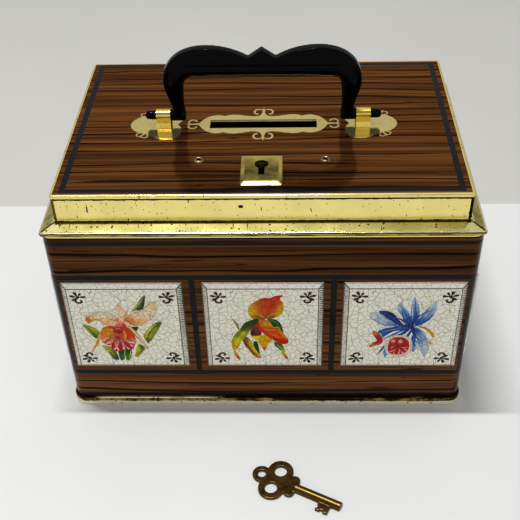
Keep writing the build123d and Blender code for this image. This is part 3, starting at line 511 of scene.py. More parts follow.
def metal(name, base, dark_clouds, roughness, pits=0.0, brushed=0.0):
    """A plain metal with clouds of a darker, tarnished tone, and pits or brushing where asked."""
    g = Graph(name, Metallic=1.0)
    cloud = g.noise(g.mm, scale=0.25, detail=5.0, roughness=0.6)
    colour = g.mix(g.step(cloud, 0.42, 0.72), base, dark_clouds)
    height = g.noise(g.mm, scale=0.6, detail=3.0)
    if pits:
        holes = g.either(g.specks(1.1, pits, 0.10), g.specks(2.2, pits, 0.12))
        colour = g.mix(holes, colour, "2c2208")
        height = g.minus(height, holes)
    if brushed:
        height = g.scaled(g.noise(g.vector("MULTIPLY", g.mm, (0.15, 3.5, 3.5))), brushed, height)
    rough = g.step(cloud, 0.3, 0.8, roughness * 0.8, roughness * 1.5)
    return g.use(Base_Color=colour, Roughness=rough,
                 Normal=g.bump(height, distance=0.03 * MM, strength=0.35))


def black_plastic():
    """Glossy black moulding with a few dust specks."""
    g = Graph("black_plastic", Specular_IOR_Level=0.05)
    cloud = g.noise(g.mm, scale=0.15, detail=3.0)
    colour = g.mix(g.specks(0.55, 0.16, 0.05), (0.0012, 0.0012, 0.0014), "6d6d69")
    rough = g.step(cloud, 0.3, 0.75, 0.05, 0.11)
    ripple = g.bump(g.noise(g.mm, scale=0.10, detail=1.0), distance=0.05 * MM, strength=0.25)
    return g.use(Base_Color=colour, Roughness=rough, Normal=ripple)


def key_bronze():
    """Dark bronzed key, rubbed towards brass where it stands highest."""
    g = Graph("key_bronze", Metallic=1.0, Roughness=0.3)
    cloud = g.noise(g.mm, scale=0.45, detail=5.0, roughness=0.65)
    colour = g.mix(g.step(cloud, 0.35, 0.7), "5a4422", "2f2412")
    worn = g.plus(g.z, g.times(g.minus(cloud, 0.5), 1.4))
    colour = g.mix(g.step(worn, 1.9, 2.8, 0.0, 0.35), colour, "806830")
    return g.use(Base_Color=colour, Normal=g.bump(cloud, distance=0.05 * MM, strength=0.5))


def printed_ink():
    """Flower and corner prints: colours come from the mesh, crazed where its alpha says."""
    g = Graph("printed_ink", Roughness=0.31, Specular_IOR_Level=0.12)
    ink = g.put("VertexColor", layer_name="ink").node
    mottle = g.step(g.noise(g.mm, scale=1.6, detail=3.0), 0.3, 0.7, 0.82, 1.12)
    colour = g.shade(ink.outputs["Color"], mottle)
    colour = g.put("HueSaturation", named={"Saturation": 1.22, "Value": 0.97, "Color": colour})
    lines = g.times(crackle(g, g.x, g.y), ink.outputs["Alpha"])
    colour = g.mix(lines, colour, "4b3a26")
    return g.use(Base_Color=colour)


def gold_print():
    """Gold printed ornaments on the lid: smooth gold with faint scuffs."""
    g = Graph("gold_print", Metallic=0.95, Roughness=0.12)
    cloud = g.noise(g.mm, scale=0.5, detail=5.0, roughness=0.7)
    colour = g.mix(g.step(cloud, 0.5, 0.75), "e8d488", "c4ac60")
    return g.use(Base_Color=colour)


FINISHES = {
    "wall_print": wall_print(),
    "lid_print": lid_print(),
    "gold_lacquer": shoulder_gold(),
    "base_tin": base_tin(),
    "brass": metal("brass", "c4a557", "8a6d30", roughness=0.26, pits=0.08),
    "strap_brass": metal("strap_brass", "f0d468", "dcb545", roughness=0.17),
    "brass_plate": metal("brass_plate", "dcc868", "b09a48", roughness=0.2, pits=0.2, brushed=0.3),
    "eyelet_brass": metal("eyelet_brass", "a8906a", "6d5636", roughness=0.28),
    "steel": metal("steel", "a9a9a4", "77746c", roughness=0.3, brushed=0.8),
    "black_plastic": black_plastic(),
    "key_bronze": key_bronze(),
}
for part in frame["record"]["subparts"]:
    slots = nodes[part["node"]].data.materials
    slots.clear()
    slots.append(FINISHES[part["material_slot"]])

# ---------------------- printed decoration
def numbers(text):
    """Points written as "x,y x,y"."""
    return [[float(v) for v in pair.split(",")] for pair in text.split()]


def inside(x, y, outline):
    """True where a point lies inside a closed outline."""
    hit = False
    for (ax, ay), (bx, by) in zip(outline, outline[1:] + outline[:1]):
        if (ay > y) != (by > y) and x < (bx - ax) * (y - ay) / (by - ay) + ax:
            hit = not hit
    return hit


def along(values, t):
    """Value at share t of a short list."""
    place = t * (len(values) - 1)
    i = min(int(place), max(len(values) - 2, 0))
    if len(values) == 1:
        return values[0]
    return values[i] + (values[i + 1] - values[i]) * (place - i)


def blend(x, y, spots):
    """Ink at a point, blended from paint spots."""
    total, ink = 0.0, [0.0] * 4
    for sx, sy, tone in spots:
        weight = 1 / (0.05 + (x - sx) ** 2 + (y - sy) ** 2) ** 1.5
        total += weight
        ink = [a + weight * b for a, b in zip(ink, tone)]
    return [a / total for a in ink]


class Print:
    """A flat print in its own millimetre coordinates, laid up as thin closed plates of ink.

    An ink is linear RGB and, as a fourth value, how strongly the print is crazed there.
    """

    ROOT = -0.02  # plates start just inside the sheet
    FIRST = 0.012  # top of the first plate
    LEAF = 0.0014  # each plate stands this much above the one before
    STEPS = 5  # points on a smooth curve for each one given
    VEIN_BEND = 0.12  # how far a vein's middle swings out, as a share of its length

    def __init__(self, offset=(0.0, 0.0)):
        self.points, self.faces, self.inks = [], [], []
        self.start(offset)

    def start(self, offset=(0.0, 0.0)):
        """What follows is laid from the sheet up again, and shifted by the offset."""
        self.offset = offset
        self.level = self.FIRST

    def add(self, flat, faces, rim, inks):
        """Closed plate from flat points, its upward faces and the loops round its edges."""
        base = len(self.points)
        n = len(flat)
        for z in (self.level, self.ROOT):
            self.points += [(x + self.offset[0], y + self.offset[1], z) for x, y in flat]
        self.inks += inks * 2
        self.faces += [[base + i for i in face] for face in faces]
        self.faces += [[base + n + i for i in reversed(face)] for face in faces]
        self.faces += [[base + a, base + a + n, base + b + n, base + b] for a, b in rim]
        self.level += self.LEAF

    def fill(self, outline, paint, crazing=1.0, grid=0.8, holes=(), curved=True):
        """Area inside a smooth closed outline; paint is one hex colour or "x,y,hex" spots."""
        outer = catmull(outline, self.STEPS, closed=True) if curved else outline
        loops = [outer, *holes]
        if "," not in paint:
            paint = "0,0," + paint
        spots = [word.split(",") for word in paint.split()]
        spots = [(float(x), float(y), [*linear(tone), crazing]) for x, y, tone in spots]

        def covered(x, y):
            return inside(x, y, outer) and not any(inside(x, y, hole) for hole in holes)

        flat = [p for loop in loops for p in loop]
        edges, start = [], 0
        for loop in loops:
            edges += [(start + i, start + (i + 1) % len(loop)) for i in range(len(loop))]
            start += len(loop)
        xs, ys = zip(*outer)
        for row in range(int((max(ys) - min(ys)) / grid) + 1):
            for column in range(int((max(xs) - min(xs)) / grid) + 1):
                x = min(xs) + (column + 0.5 * (row % 2)) * grid
                y = min(ys) + row * grid
                if covered(x, y):
                    flat.append([x, y])
        corners, _, triangles, *_ = delaunay_2d_cdt([Vector(p) for p in flat], edges, [], 1, 1e-5)
        flat = [(v.x, v.y) for v in corners]
        faces = []
        for face in triangles:
            x = sum(flat[i][0] for i in face) / len(face)
            y = sum(flat[i][1] for i in face) / len(face)
            if covered(x, y):
                (ax, ay), (bx, by), (cx, cy) = (flat[i] for i in face[:3])
                area = (bx - ax) * (cy - ay) - (cx - ax) * (by - ay)
                faces.append(list(face) if area > 0 else list(reversed(face)))
        sides = {(a, b) for face in faces for a, b in zip(face, face[1:] + face[:1])}
        rim = [(a, b) for a, b in sides if (b, a) not in sides]
        self.add(flat, faces, rim, [blend(x, y, spots) for x, y in flat])

    def line(self, points, paint, widths, crazing=1.0):
        """Tapering ribbon along a smooth curve; paint is the colours along it."""
        path = catmull(points, self.STEPS)
        tones = [[*linear(tone), crazing] for tone in paint.split()]
        left, right, inks = [], [], []
        for i, (x, y) in enumerate(path):
            (ax, ay), (bx, by) = path[max(i - 1, 0)], path[min(i + 1, len(path) - 1)]
            length = math.hypot(bx - ax, by - ay) or 1.0
            dx, dy = (ax - bx) / length, (ay - by) / length
            t = i / (len(path) - 1)
            half = along(widths, t) / 2
            left.append((x + dy * half, y - dx * half))
            right.append((x - dy * half, y + dx * half))
            inks.append([along(channel, t) for channel in zip(*tones)])
        n = len(path)
        faces = [(i, n + i, n + i + 1, i + 1) for i in range(n - 1)]
        rim = [(i + 1, i) for i in range(n - 1)] + [(n + i, n + i + 1) for i in range(n - 1)]
        rim += [(0, n), (2 * n - 1, n - 1)]
        self.add(left + right, faces, rim, inks * 2)

    def veins(self, start, ends, paint, widths):
        """Fine lines that fan out from one point to several."""
        for k, (x, y) in enumerate(ends):
            dx, dy = x - start[0], y - start[1]
            side = self.VEIN_BEND * (1 if k % 2 else -1)
            middle = [start[0] + dx / 2 - dy * side, start[1] + dy / 2 + dx * side]
            self.line([start, middle, [x, y]], paint, widths)

    def mesh(self, name, material):
        mesh = bpy.data.meshes.new(name)
        mesh.from_pydata([[c * MM for c in p] for p in self.points], [], self.faces)
        colours = mesh.color_attributes.new("ink", "FLOAT_COLOR", "POINT")
        for item, ink in zip(colours.data, self.inks):
            item.color = ink
        mesh.materials.append(material)
        mesh.validate()
        return mesh


def draw(recipe, offset):
    """Print made from a recipe: each row holds its kind and points | its paint | a line's widths."""
    ink = Print(offset)
    # an indented line carries on the row above it
    for row in recipe.strip().replace("\n  ", " ").splitlines():
        outline, paint, *widths = row.split(" | ")
        kind, points = outline.split(" ", 1)
        points = numbers(points)
        widths = [float(word) for text in widths for word in text.split()]
        if kind == "fill":
            ink.fill(points, paint)
        elif kind == "line":
            ink.line(points, paint, widths)
        else:
            ink.veins(points[0], points[1:], paint, widths)
    return ink


# a peach orchid with a ruffled crimson lip
PEACH_ORCHID = """
fill -19,6.5 -15,9.6 -9,9.9 -4,7.4 -8,4.6 -14,4.4 | d9dac8
fill 9,13.6 13.4,16.1 14.4,13 13,8 10,4.2 8,8 | dcdac6
fill 2.2,10 5,13.5 7,16.8 9.2,19.4 9,16 8.2,12.5 7.2,10.8 4.5,10.4 | 3.2,11.4,a3a83c 5.6,14.4,7d8b34
  8.4,14,0d2f28 9,18,0d2f28 6.2,11,0d2f28
line 2.8,10.4 6.2,14.2 9.1,19 | dfe2b8 | .3 .25 .05
fill 15,3.6 12.5,3.2 9.5,.4 7,-3 6.2,-5.4 7.2,-8.2 7.6,-9.6 9.5,-7.6 12,-3.4 14,.6 | 13.6,2,566b14
  9.6,-.6,c3c44a 7.4,-4.4,a9b03a 8,-8,566b14 11.6,-2.4,7c8c22
line 14.6,3.3 11,-.2 8.4,-4.6 7.5,-9 | 1e4a24 | .1 .55 .1
line 12.6,2.4 9.2,-1.2 7,-5.2 | e3e392 | .1 .3 .1
fill -20,2 -17.6,1.6 -15,.2 -13,-2.6 -13.4,-4.4 -15,-6.6 -16.6,-4.6 -18.6,-1.2 | -19,1.2,8d9a2e
  -15.4,-.6,a3ab3c -14,-3.8,74841e -15.2,-5.8,3c5a1c
line -19.8,1.9 -16.6,-1.6 -15,-6.2 | 23421a | .1 .5 .1
line -18.6,1.4 -15.6,-.8 -13.8,-4 | d8da88 | .1 .25 .1
fill 1.4,.6 4.4,.6 3.4,-1.8 2.2,-.8 | 10362b
fill -13,-10.8 -10,-11.5 -7.5,-14 -6.5,-19.6 -9,-19.4 -11,-15 | -12,-11.4,9fae2f -9.6,-15,3f6a22
  -7.6,-18.6,1f4a26 -11,-14.4,c9c85a
line -12.4,-11.2 -9.6,-14.4 -7.6,-19.2 | dfe08c 7c8c22 | .1 .4 .1
fill -6,-13 -2.4,-12 -3,-16 -4.4,-20 -6,-19.6 | -4,-14,10332e -5,-18.6,2c6640
fill -2.6,-13 0,-13.4 -1.4,-19.6 -3.2,-19.8 | -1.4,-14,10332e -2.4,-18.6,3f7a3a
line -3,-13 -3.6,-16.4 -4,-19.8 | c9cf50 7c9a2c | .2 .5 .1
line -.4,-13.4 -1,-16.4 -1.8,-19.4 | d9dc6a 9fb83a | .2 .5 .1
fill 3.5,-10 6,-12 5.4,-14 3,-17.6 1,-17.8 2.2,-13 | 4.6,-12,3f6a22 2.4,-16.6,a9b03a 2.6,-12.6,c9cf50
line 5.2,-12 3.6,-15 1.6,-17.6 | 1e4a24 | .1 .4 .1
line -10,0 -13.5,-6 -15,-9.5 -18,-15 | e3ac70 edc592 d98f24 | 2.4 1.8 1.2 .3
line -10.6,-.6 -14.2,-7.4 -17.6,-14.4 | c9702e | .3 .2 .1
line -2.5,5 2.5,-3 7.5,-13 | f1d9a8 e2a463 d98f3a | .8 2.2 .6
line -1.6,3.6 3.2,-4 7,-12 | f8ecd0 | .3 .7 .2
fill -3.2,4.6 -4.6,9 -3.6,13.4 -2.4,14.6 -1,11.4 .8,9.6 -.6,5.6 | -3,8,f6e6cc -2.6,13,f3d3ae 0,8,f5d8bc
fill -3.2,5.2 -7,8 -11,9.4 -14.5,8.2 -17.5,6.6 -18.2,4.6 -16.8,2.8 -15.2,4.2 -13,5.4 -11.5,3.4 -9.2,1.4
  -6,2.4 | -17.6,4.6,cf7430 -14.6,6.6,f4d8ac -10,7,fbf0d6 -6,5,f8e6c8 -9.6,2.6,f0c490 -4,4.6,e9a06a
veins -4,4.4 -7,7.4 -10.6,8.8 -14,7.6 -17,6.2 -16.6,3.6 -12.6,5.8 -10.6,3.2 -8.4,2.2 | e09a66 efc69c | .3
  .12
line -17.9,5 -14.6,7.9 -11,9.2 -7.2,7.8 -3.6,5.4 | c9702e e9bd8c | .25 .15 .1
line -16.8,2.9 -15,4.3 -13,5.4 -11.4,3.4 -9.2,1.5 | cf7430 d9905c | .3 .2
fill -1.5,5.2 2.5,8.6 6.5,9.8 9.6,12.4 11,14.8 13,15.2 13.6,12.8 12.4,8.4 9.6,4.2 6,1.6 2.4,1.4 0,3.2 |
  0,4.8,e09058 4,7,f8e4c4 9,10.6,fbf2dc 12,13.6,f4dab0 11,7,f8e6c8 6,3,f0c898 2,2.4,e09860
veins -.6,4.4 4,8.8 8.4,11.4 11.6,14.4 12.8,11.6 11,7.2 8.4,4 5.4,2.2 | e09a66 efc8a0 | .3 .1
line -1.2,5.4 3,8.9 7,10.2 10.2,13.6 12.8,15.1 | dfa678 | .15 .2 .15
line 13.4,13.4 12.2,8.4 9.4,4.2 6,1.7 2.4,1.5 | dfa678 | .15 .2 .15
line -1.4,6.4 .6,9.6 1.8,12.6 | dd9a72 | .5 .4 .1
fill -10.5,.6 -12.6,-3 -13,-7.2 -11.6,-10 -9.6,-11 -8.6,-13.6 -6.6,-14.6 -4,-13.6 -3,-12 -.6,-13.8 1.2,-12
  2.4,-8.4 2.2,-4 .6,-.6 -2,.8 -6,1.4 | -11,-2,e08a5c -12,-7,ea9c80 -9,-12,c43a48 -6,-14,b02038
  -1,-12.6,c43448 1.6,-9,e8988c 1.6,-3,d8604c -5,.6,cc4438 -5,-6,b8243c
fill -10.4,-.5 -11.4,-4.5 -9.6,-8.6 -6,-9.6 -3.4,-8 -2.6,-4 -4,-1 | -9,-3,e8a050 -8,-7,dd8a3c -4.4,-5,c9592c
line -2.4,-1.6 -1.8,-5 -3.2,-9 | efb640 e6a12c | .5 1 .5
veins -5.6,-5 -12,-7.6 -11,-9.8 -9.4,-11.4 -7.8,-13.4 -6,-14 -3.6,-13.2 -1.2,-13 .6,-11.6 1.8,-9 | b81c38
  f8e0d4 | .3 .8
veins -5.4,-5.4 -11.6,-8.8 -10,-10.6 -8.4,-12.8 -5,-13.8 -2.2,-12.6 -.2,-12.6 1.4,-10.4 | 8a1028 9c1430 | .2
  .45
veins -6.6,-3.6 -10.6,-2 -11,-5 -9.6,-7.8 -7,-9 -4.4,-8 | b4402a | .2 .3
fill -3,4.4 -5,2.6 -6.6,.4 -4.6,.8 -1,.6 -1.2,2.6 | -3,3.6,f0b0a4 -5,1.4,e58f8a -1.8,1.4,d8666a
fill -6.6,-.6 -4.6,.4 -2.6,-.6 -2.8,-2.6 -4.6,-3.4 -6.8,-2.4 | -4.6,-.4,c8303a -4.8,-2.6,8f101c
line -6.2,-1 -4.6,-.2 -3,-.9 | f0b8a8 | .1 .3 .1
"""

# a slipper orchid in red, orange and green
SLIPPER_ORCHID = """
fill -4.2,5.4 -6.2,8 -6.6,11.2 -5.4,14 -3,16.2 0,18 3.2,17.9 5.6,19.2 8.6,19.4 7.2,17.4 8.4,15.4 8.8,12.6
  8.2,9.2 6,6.8 3,5.9 -1,5.6 | 7.4,18.8,c8210c 3,16.6,c8210c 1,13,c92a0c 4,13.4,c8210c 2.4,10,d2400c
  -2,14.4,d2500c -4.6,13,dc8a10 -5.8,10.4,e8bc10 8.2,12,e0a010 6.6,8,d9a812 0,9,d8600e -2,6.4,8a6a10
  3,6.6,7a5a10
veins 0,6 -5.2,9.4 -5.6,12 -3.8,14.8 -1.4,16.6 2,17.4 5.4,18.4 7.4,15.8 7.8,12.4 7,9 | b8280c e07018 | .25
  .12
veins 1,6.2 -4.8,8.6 -5,13 7.8,13.4 7.2,9.4 | e0a020 f0cc2c | .3 .15
veins 1,6 -3,12 -.6,15 2.6,16 5.4,15.2 6.2,11.6 | 8a4a08 a01c08 | .35 .1
line -1,16.8 3,17.7 5.6,19 8.5,19.3 | a01808 | .2 .5 .2
line -13.6,6 -11.6,2.4 -11,-.6 | c3a834 8f7a18 | .3 1.3 .5
line -13.4,5.6 -11.8,2.2 -11.2,-.4 | 5a6a16 | .1 .4 .2
fill -2.2,5.8 -5.5,5 -8.5,3 -10.5,-.5 -13,-4 -14.4,-8 -14.2,-12 -13.4,-13.6 -11.6,-12 -10,-8 -8.6,-6 -6,-1.6
  -3.8,1 -2.4,2.8 | -3,4.4,0e3b22 -6.6,3,14401e -9,0,1e4a1e -11.4,-4,6f8a14 -9,-3,c3b80e -13.6,-7.4,a8ac0c
  -12,-8,e6c80e -13.6,-12.4,dca80e -12,-11,d9860e
veins -3,4 -9,1.6 -11.4,-2.6 -12.6,-6.4 -10.2,-6.4 -8,-4 | 0a2c18 3f6414 | .35 .12
line -8.6,-2 -11.4,-6.6 -12.8,-12.4 | d9e04a e8d82a | .2 .5 .2
fill -13.6,-13.8 -12.2,-15 -11.2,-18 -11,-19.8 -12.4,-18.6 -13.4,-16.6 | -12.6,-15,dca80e -11.6,-18.6,c8500e
fill -9.2,-6.8 -7.6,-5.2 -5.6,-8 -4,-12 -1.4,-17.8 -3,-18.4 -5,-16.6 -8,-11.6 -9.4,-8 | -8.4,-6.6,7a4a12
  -6.4,-10,d9a516 -4,-14,e3c02a -2.4,-18,c89018 -8,-10,5a2c0a -5.4,-15.4,6a3a10
line -8.8,-7.6 -6.6,-12 -3,-18 | 4a2208 | .2 .6 .2
line -7.4,-6.2 -5.2,-10.6 -2.2,-17 | f0d84a | .2 .5 .2
fill -4.6,-8 -3,-8.4 -2.4,-12 -2.2,-15.6 -3.4,-14 -4.6,-11 | 123a22
fill -3.4,3.6 -2,3 -1,-1 -1.4,-4.2 -4,-4.8 -5.6,-4.4 -5.8,-2 -5,.4 | -3,2,6a3420 -2,-2,7a4030 -4.6,-3,3a1610
veins -3,2.6 -5.2,-1.6 -4.6,-4.2 -3,-4.4 -1.8,-3.4 | 8f5a48 6a3a2c | .3 .15
fill -5.4,-4.8 -2,-4.4 1.4,-3.6 3.4,-6.6 1.6,-10 .2,-13.8 -1.2,-11 -3,-8 | -3.6,-5.4,e8d428 0,-5,dcc20e
  2.4,-6.6,e39a1c .4,-10,e8a81c .2,-13,d2461a
veins -1,-4.6 -2,-8 -.6,-10.6 .4,-12.8 1.6,-8.4 | c88a12 d2601a | .3 .12
fill 1.6,5.8 5,5.4 7.2,3.2 8.2,0 8.4,-3.4 6.4,-1.6 4.4,.6 3,3.4 | 3,5,1e5a2c 6.4,3,0c3a24 8,-2,14482a
line 2.6,5.3 5.6,3.4 7.4,-.6 | 5f8a2c | .2 .4 .1
fill 4.6,-8.4 7.6,-9.4 8.6,-11.6 9.4,-14.4 8.4,-15 6,-12 4.8,-10.4 | 6,-9.6,1e5a2c 7.4,-12,4f8018
  8.8,-14.4,c3b820
line 5.4,-9.4 7.4,-12 8.8,-14.6 | c9d84a | .1 .4 .1
fill 7.8,-14.6 9.4,-15.8 10.6,-18.6 10.2,-19.2 8.8,-17.4 7.8,-15.6 | 8.6,-15.6,d9a016 10,-18,c23a30
fill -1.8,5.4 0,5.8 2,4.6 3.6,2 4.4,.6 6,.8 7.4,-1.4 9.4,-4.4 10.8,-7.4 10.2,-9.2 8,-9.6 5,-8 1.6,-5 -1,-2
  -2.4,1 -2.4,3.6 | -1.6,4,b02408 0,0,d2360c 3,-4,dc4a10 7,-8,c81e08 10,-8,b8180a 7,-4,e0501a 4,0,d83c0e
fill -1.6,5.2 .4,5.2 2.4,3.4 3.4,.9 1.8,-.6 -.4,1.6 -1.8,3.8 | -1,4.4,c86a10 1.6,2.6,e8a01c 1.6,.4,d2600e
line -2,4.6 -1,1.6 1,-.6 3,-1 5.8,-.8 7.4,-3 9.8,-7 | e8902a f0a24a f4b868 | .25 .4 .25
line .4,5.6 2.6,4 3.8,1.2 4.6,.5 6,.9 7.6,-1.8 10,-6 | e8b04a f2c870 | .25 .4 .2
line -.6,-1.6 3,-4.6 7,-7.6 9.8,-8.4 | 8f1206 | .2 .5 .2
line 2.4,-2.4 5,-4.4 8.4,-6.2 | f08a4a | .2 .6 .1
"""

# a blue spidery orchid with two small red flowers
BLUE_ORCHID = """
fill -14.6,10 -11,10.4 -8,7.6 -4.6,4.6 -2,2.6 -8,2.4 -12,5.2 -14.4,7.6 | -13,8.4,d5dadb -9,6,c3cdd6
  -5,3.8,8fa6c4 -11,5.4,b3c2d2
veins -2.6,3 -14,9.2 -12.4,9.8 -9.6,8.4 -13,6.6 -10.6,4.6 -7.4,3 | 4a6fae 8ea6c6 | .3 .12
line -14.6,9.8 -11,10.3 -8,7.6 -4.6,4.6 | 5a7396 | .2 .2
line -14.4,7.8 -12,5.2 -8,2.6 -3,2.6 | 5a7396 | .2 .2
fill -10.6,11.4 -7.6,11.4 -4.4,9.8 -2,6.4 1,2 -1.4,2.6 -5,5.4 -8.6,8.6 -10.4,10 | -9.4,10.8,1c3f86
  -6,9,0a1c5c -2.6,5.4,122c70 0,3,1c3f86
line -9.6,10.8 -5.6,8.2 -1,3.6 | 4468ac | .1 .35 .1
fill -3.4,13 -1.8,16 0,13.4 2.6,9 4,3.6 1.6,5 -1.6,9.4 | -2,14,b9c8da 0,10,7f9cc8 3,6,3d62a4
line -2,15 .6,9.6 3.8,3.8 | 6d8cc0 2a4f94 | .2 .9 .5
fill 3.6,19.6 5,17 6.6,11 6,5 4,3 3,8 2.6,14 | 3.8,18,c3d0df 4.4,12,8fa8ce 4.8,6,41659f
line 3.8,19 4.6,11.6 4.4,3.6 | 7b97c6 27488a | .2 .9 .6
line 3,14 3.6,9 4,4 | dbe4ec 8fa8ce | .2 .4 .2
fill 13,17.2 13.8,14.6 13,9.6 10.6,5.4 6,2.6 5.8,5 8.4,10.4 10.2,14 | 12.6,15,cdd8e2 11,10,9fb4cc
  7.4,5,5074ae
veins 5.4,3 12.6,16.4 13.2,13 12.4,9 10.4,12.4 8.6,7.6 | 1f4690 7b97c6 | .5 .12
line 12.8,10 9.8,5.4 5.6,2.4 | 4d74b6 2c5aa4 | .2 1.1 .6
fill -10.6,-.8 -7,1.2 -2,1.8 3,1.8 0,0 -4,-1 -8,-4.2 -9,-2.6 | -9,-1.6,4a73b2 -5,0,23508f 1,1.2,1b3f80
line -9.4,-1.4 -4,.4 2,1.4 | 9ab4da | .1 .35 .1
line -8,-5.6 -3.6,-2.6 2,1 | 7d9ccc 2b55a0 | .3 1.1 .5
line -2,-4 1,-1.8 3.6,1.4 | 5b80ba 1d4088 | .4 1.2 .5
line 2,-7 2.8,-3 4.4,1 | 4468ac 123272 | .3 1.3 .6
fill 5.6,-13.6 4,-9.6 4.2,-5 5.2,-3.4 6.2,-7 6.6,-11.4 | 5.4,-12,8fa8d0 5,-8,3a63a4 5.2,-4.4,244a8e
fill 5,1.4 8,0 10.4,-3.4 12.2,-8 12.6,-12 11,-16.8 9.4,-13.4 7,-7 | 6,0,5f83ba 9,-4,a9b9c8 10.8,-9,c9d3da
  11.2,-14,b9c7d2 8,-7,7d98c0
veins 5,1 8,-9 9.6,-13.4 11,-15.6 11.8,-11 11.2,-6.4 | 2f5798 8fa6c6 | .55 .12
line 4.8,.4 5.4,-4 7.4,-9.6 | 1c3f86 5f83ba | .8 .7 .1
line -6,-8 -8,-11.6 -10,-15.4 | 1d3f78 4c6fa6 | .4 1.1 .2
fill -5.4,-9 -5,-13 -6.4,-17 -7.4,-14 -6.8,-11 | -6,-10,2f5798 -6.4,-15,7d9ccc
veins 4.4,2 -1.6,2.6 -.8,5.6 1.8,6.8 4.4,8 7.4,6.4 8.6,3.2 8,-1 4.6,-4 1.2,-2.4 | 0c2464 1f4690 | .8 .15
veins 3.6,2.4 -8,8 -1,11.4 4.4,14 10.6,11.6 9.2,-7 5.4,-9.6 -7.6,-.6 -5.6,-4.2 | 0a2474 2a58b0 | 1.2 .15
line 6.6,2.2 10,1 12.6,-1.6 14,-4.4 | a8741a c98a1c dca43c | .5 1.4 1
line 7,2.5 10.4,1.3 13,-1.4 | eecb74 | .1 .4 .2
line 12.4,-7 12.8,-8 13.6,-8.8 | c9a04a | .6 1.1 .7
fill -7,-6 -4,-3.4 1.6,-3.6 4.6,-6.4 5,-11 3.4,-15.4 -1,-16.6 -5.4,-15.2 -7,-11 | ecdccb
fill -5,-6.4 -3.6,-4.6 -1,-4.2 1.4,-4.8 3.2,-7 3.8,-10.4 2.8,-13.4 .4,-15 -3,-15 -5.2,-13.4 -5.6,-10 |
  -4,-6,c8343a -1,-5.4,a81420 2.4,-8,c02830 0,-10,8f0e18 -4,-12,c63038 1,-13.6,d8484c -5,-10,a81420
fill -4.4,-6.6 -3.4,-5.6 -2.6,-6.8 -3.2,-9.4 -4,-9.2 | -3.4,-6.6,eeb0a4 -3.6,-8.8,c8343a
fill -1.2,-7 -.4,-5.6 .6,-6.8 .2,-9.6 -.8,-9.4 | -.4,-6.6,f4c0b4 -.2,-9,c8343a
veins -1,-10 -4.2,-11 -4.4,-13.4 -2.6,-14.6 -.6,-14.8 1.4,-14.2 2.8,-12.6 3,-10.6 | d8484c f6ccc0 | .15 .6
veins -1,-9.8 -4.6,-12.2 -3.4,-14.2 -1.6,-14.8 .4,-14.6 2.2,-13.4 3.4,-11.4 | 6a0810 a01420 | .5 .2
fill -12.6,-.6 -11.4,-.8 -9.4,-3 -8,-6 -8.8,-8.4 -11,-9.6 -13.4,-10.6 -14,-9.8 -12.4,-7.8 -10.6,-6.6
  -11.6,-4.4 -12.8,-2.4 | -12,-1.4,dc8a6a -9.4,-4,a8161c -8.8,-7,b8242a -12.4,-9.8,dc8a6a -10.8,-6.4,8a0e16
line -12.4,-1 -10,-3.4 -8.8,-6.6 -10.8,-9 | f0b090 c8343a f0b090 | .15 .4 .15
"""


def corner_motifs(ink):
    """Small dark palmette with one curl in each corner of a tile."""
    brown = "2a1b12"
    bud = [(0.8, 0), (0, 0.8), (-0.8, 0), (0, -0.8)]
    # angle, length and width of each petal
    petals = ((14, 3.6, 1.35), (68, 3.2, 1.5), (122, 2.8, 1.1), (176, 3.4, 1.35), (-36, 3.2, 1.25))
    curl = [(0.1, -0.6), (1.2, -1.5), (0.9, -2.8), (-0.6, -3.2), (-1.5, -2.3), (-0.8, -1.6)]
    for sx, sy in ((-1, -1), (-1, 1), (1, -1), (1, 1)):
        def place(points):
            # x and y grow towards the tile's corner
            return [[sx * (19.0 + x), sy * (18.5 + y)] for x, y in points]

        ink.fill(place(bud), brown, crazing=0.3)
        for angle, reach, width in petals:
            cos, sin = math.cos(math.radians(angle)), math.sin(math.radians(angle))
            petal = [(f * reach * cos, f * reach * sin) for f in (0.22, 0.5, 0.78, 1.0)]
            ink.line(place(petal), brown, (0.3, width * 0.75, width, 0.75), crazing=0.3)
        ink.line(place(curl), brown, (0.4, 0.95, 1.05, 1.0, 0.9, 0.75), crazing=0.3)


PRINTED_INK = printed_ink()
tile_meshes = []
for name, recipe, offset in (
    ("peach_orchid", PEACH_ORCHID, (0.6, 0.4)),
    ("slipper_orchid", SLIPPER_ORCHID, (0.0, 0.0)),
    ("blue_orchid", BLUE_ORCHID, (0.3, -1.0)),
):
    flower = draw(recipe, offset)
    flower.start()
    corner_motifs(flower)
    tile_meshes.append(flower.mesh(name, PRINTED_INK))


def put_print(name, mesh, across, out, place, body):
    """Object that lays a flat print on a face; across is its right, out its outward direction."""
    across, out = Vector(across), Vector(out)
    turn = Matrix((across, out.cross(across), out)).transposed().to_4x4()
    obj = add_object(name, mesh)
    obj.matrix_world = Matrix.Translation(Vector(place) * MM) @ turn
    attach(obj, body)


# three tiles on each long side, two on each short side
for index in range(3):
    shift = (index - 1) * TILE_PITCH
    for side, sign in (("front", -1), ("back", 1)):
        put_print(f"flower_{side}_{index + 1}", tile_meshes[index], (-sign, 0, 0), (0, sign, 0),
                  (-sign * shift, sign * TILE_FACE_Y, TILE_Z), "box")
for index in range(2):
    shift = (index - 0.5) * TILE_PITCH
    for side, sign in (("left", -1), ("right", 1)):
        put_print(f"flower_{side}_{index + 1}", tile_meshes[index + (sign > 0)], (0, sign, 0), (sign, 0, 0),
                  (sign * TILE_FACE_X, sign * shift, TILE_Z), "box")


